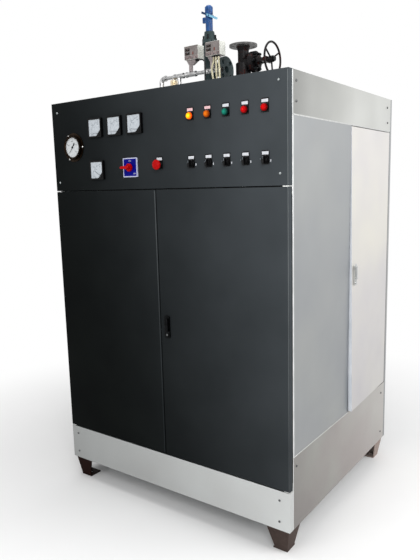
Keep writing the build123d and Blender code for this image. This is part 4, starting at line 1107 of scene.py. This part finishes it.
cylinder = bmesh.new()
turned(cylinder, moved_mm(FRONT_LOCK_AT, 2, -32, 9), CYLINDER_PROFILE_MM, segments=32)
piece("front_lock_cylinder", cylinder, screw_steel, "front_door_right")


# Floor, lamps and white surroundings

WHITE = (1, 1, 1, 1)
FLOOR_HALF = 20
LAMPS = (("key", (2.3, -2.9, 2.7), (0.3, -0.5, 0.9), 1.6, 52),
         ("front", (-0.9, -3.7, 1.9), (0.1, -0.5, 0.9), 1.1, 20),
         ("side", (3.9, 0.6, 2.6), (0.6, 0.0, 0.9), 2.2, 90),
         ("top", (-0.2, -0.4, 4.6), (0.0, 0.0, 1.2), 2.2, 70))


def studio_floor():
    """Pale floor that keeps the boiler's shadow and turns plain white further out."""
    half = FLOOR_HALF
    mesh = bpy.data.meshes.new("floor")
    mesh.from_pydata([(-half, -half, 0), (half, -half, 0), (half, half, 0), (-half, half, 0)], [],
                     [(0, 1, 2, 3)])
    floor = bpy.data.objects.new("floor", mesh)
    bpy.context.collection.objects.link(floor)
    pale, place = blank("pale studio floor")
    paint = add(pale, "ShaderNodeBsdfDiffuse",
                {"Color": mottled(pale, place, "#f3f3f3", "#f7f7f7", size_mm=900)})
    white = add(pale, "ShaderNodeEmission", {"Color": WHITE, "Strength": 1.0})
    reach = add(pale, "ShaderNodeVectorMath", {0: place}, operation="LENGTH")
    far = add(pale, "ShaderNodeMapRange",
              {"Value": reach.outputs["Value"], "From Min": 1.0, "From Max": 2.4},
              interpolation_type="SMOOTHSTEP")
    path = add(pale, "ShaderNodeLightPath", {})
    seen = add(pale, "ShaderNodeMath", {0: path.outputs["Is Camera Ray"],
                                        1: path.outputs["Is Glossy Ray"]}, operation="MAXIMUM")
    share = add(pale, "ShaderNodeMath", {0: far.outputs["Result"], 1: seen.outputs[0]},
                operation="MULTIPLY")
    mix = add(pale, "ShaderNodeMixShader", {0: share.outputs[0], 1: paint.outputs[0],
                                            2: white.outputs[0]})
    mesh.materials.append(finished(pale, mix))


def studio_world():
    """Soft light from all sides, seen as plain white."""
    world = bpy.data.worlds.new("studio")
    world.use_nodes = True
    world.node_tree.nodes.clear()
    path = add(world, "ShaderNodeLightPath", {})
    shown = add(world, "ShaderNodeMath", {0: path.outputs["Is Camera Ray"],
                                          1: path.outputs["Is Glossy Ray"]}, operation="MAXIMUM")
    shown = add(world, "ShaderNodeMath", {0: shown.outputs[0],
                                          1: path.outputs["Is Transmission Ray"]}, operation="MAXIMUM")
    light = add(world, "ShaderNodeBackground", {"Color": WHITE, "Strength": 0.45})
    white = add(world, "ShaderNodeBackground", {"Color": WHITE, "Strength": 1.0})
    mix = add(world, "ShaderNodeMixShader", {0: shown.outputs[0], 1: light.outputs[0],
                                             2: white.outputs[0]})
    add(world, "ShaderNodeOutputWorld", {"Surface": mix.outputs[0]})
    bpy.context.scene.world = world


def studio_lamps():
    """Square soft lamps, each with its place, its target, its size in metres and its power in watts."""
    for name, spot, target, size, power in LAMPS:
        data = bpy.data.lights.new(name, "AREA")
        data.shape = "SQUARE"
        data.size = size
        data.energy = power
        lamp = bpy.data.objects.new(name, data)
        bpy.context.collection.objects.link(lamp)
        lamp.location = spot
        lamp.rotation_euler = (Vector(target) - Vector(spot)).to_track_quat("-Z", "Y").to_euler()
        lamp.visible_camera = False


studio_floor()
studio_world()
studio_lamps()
bpy.context.scene.view_settings.view_transform = "Standard"
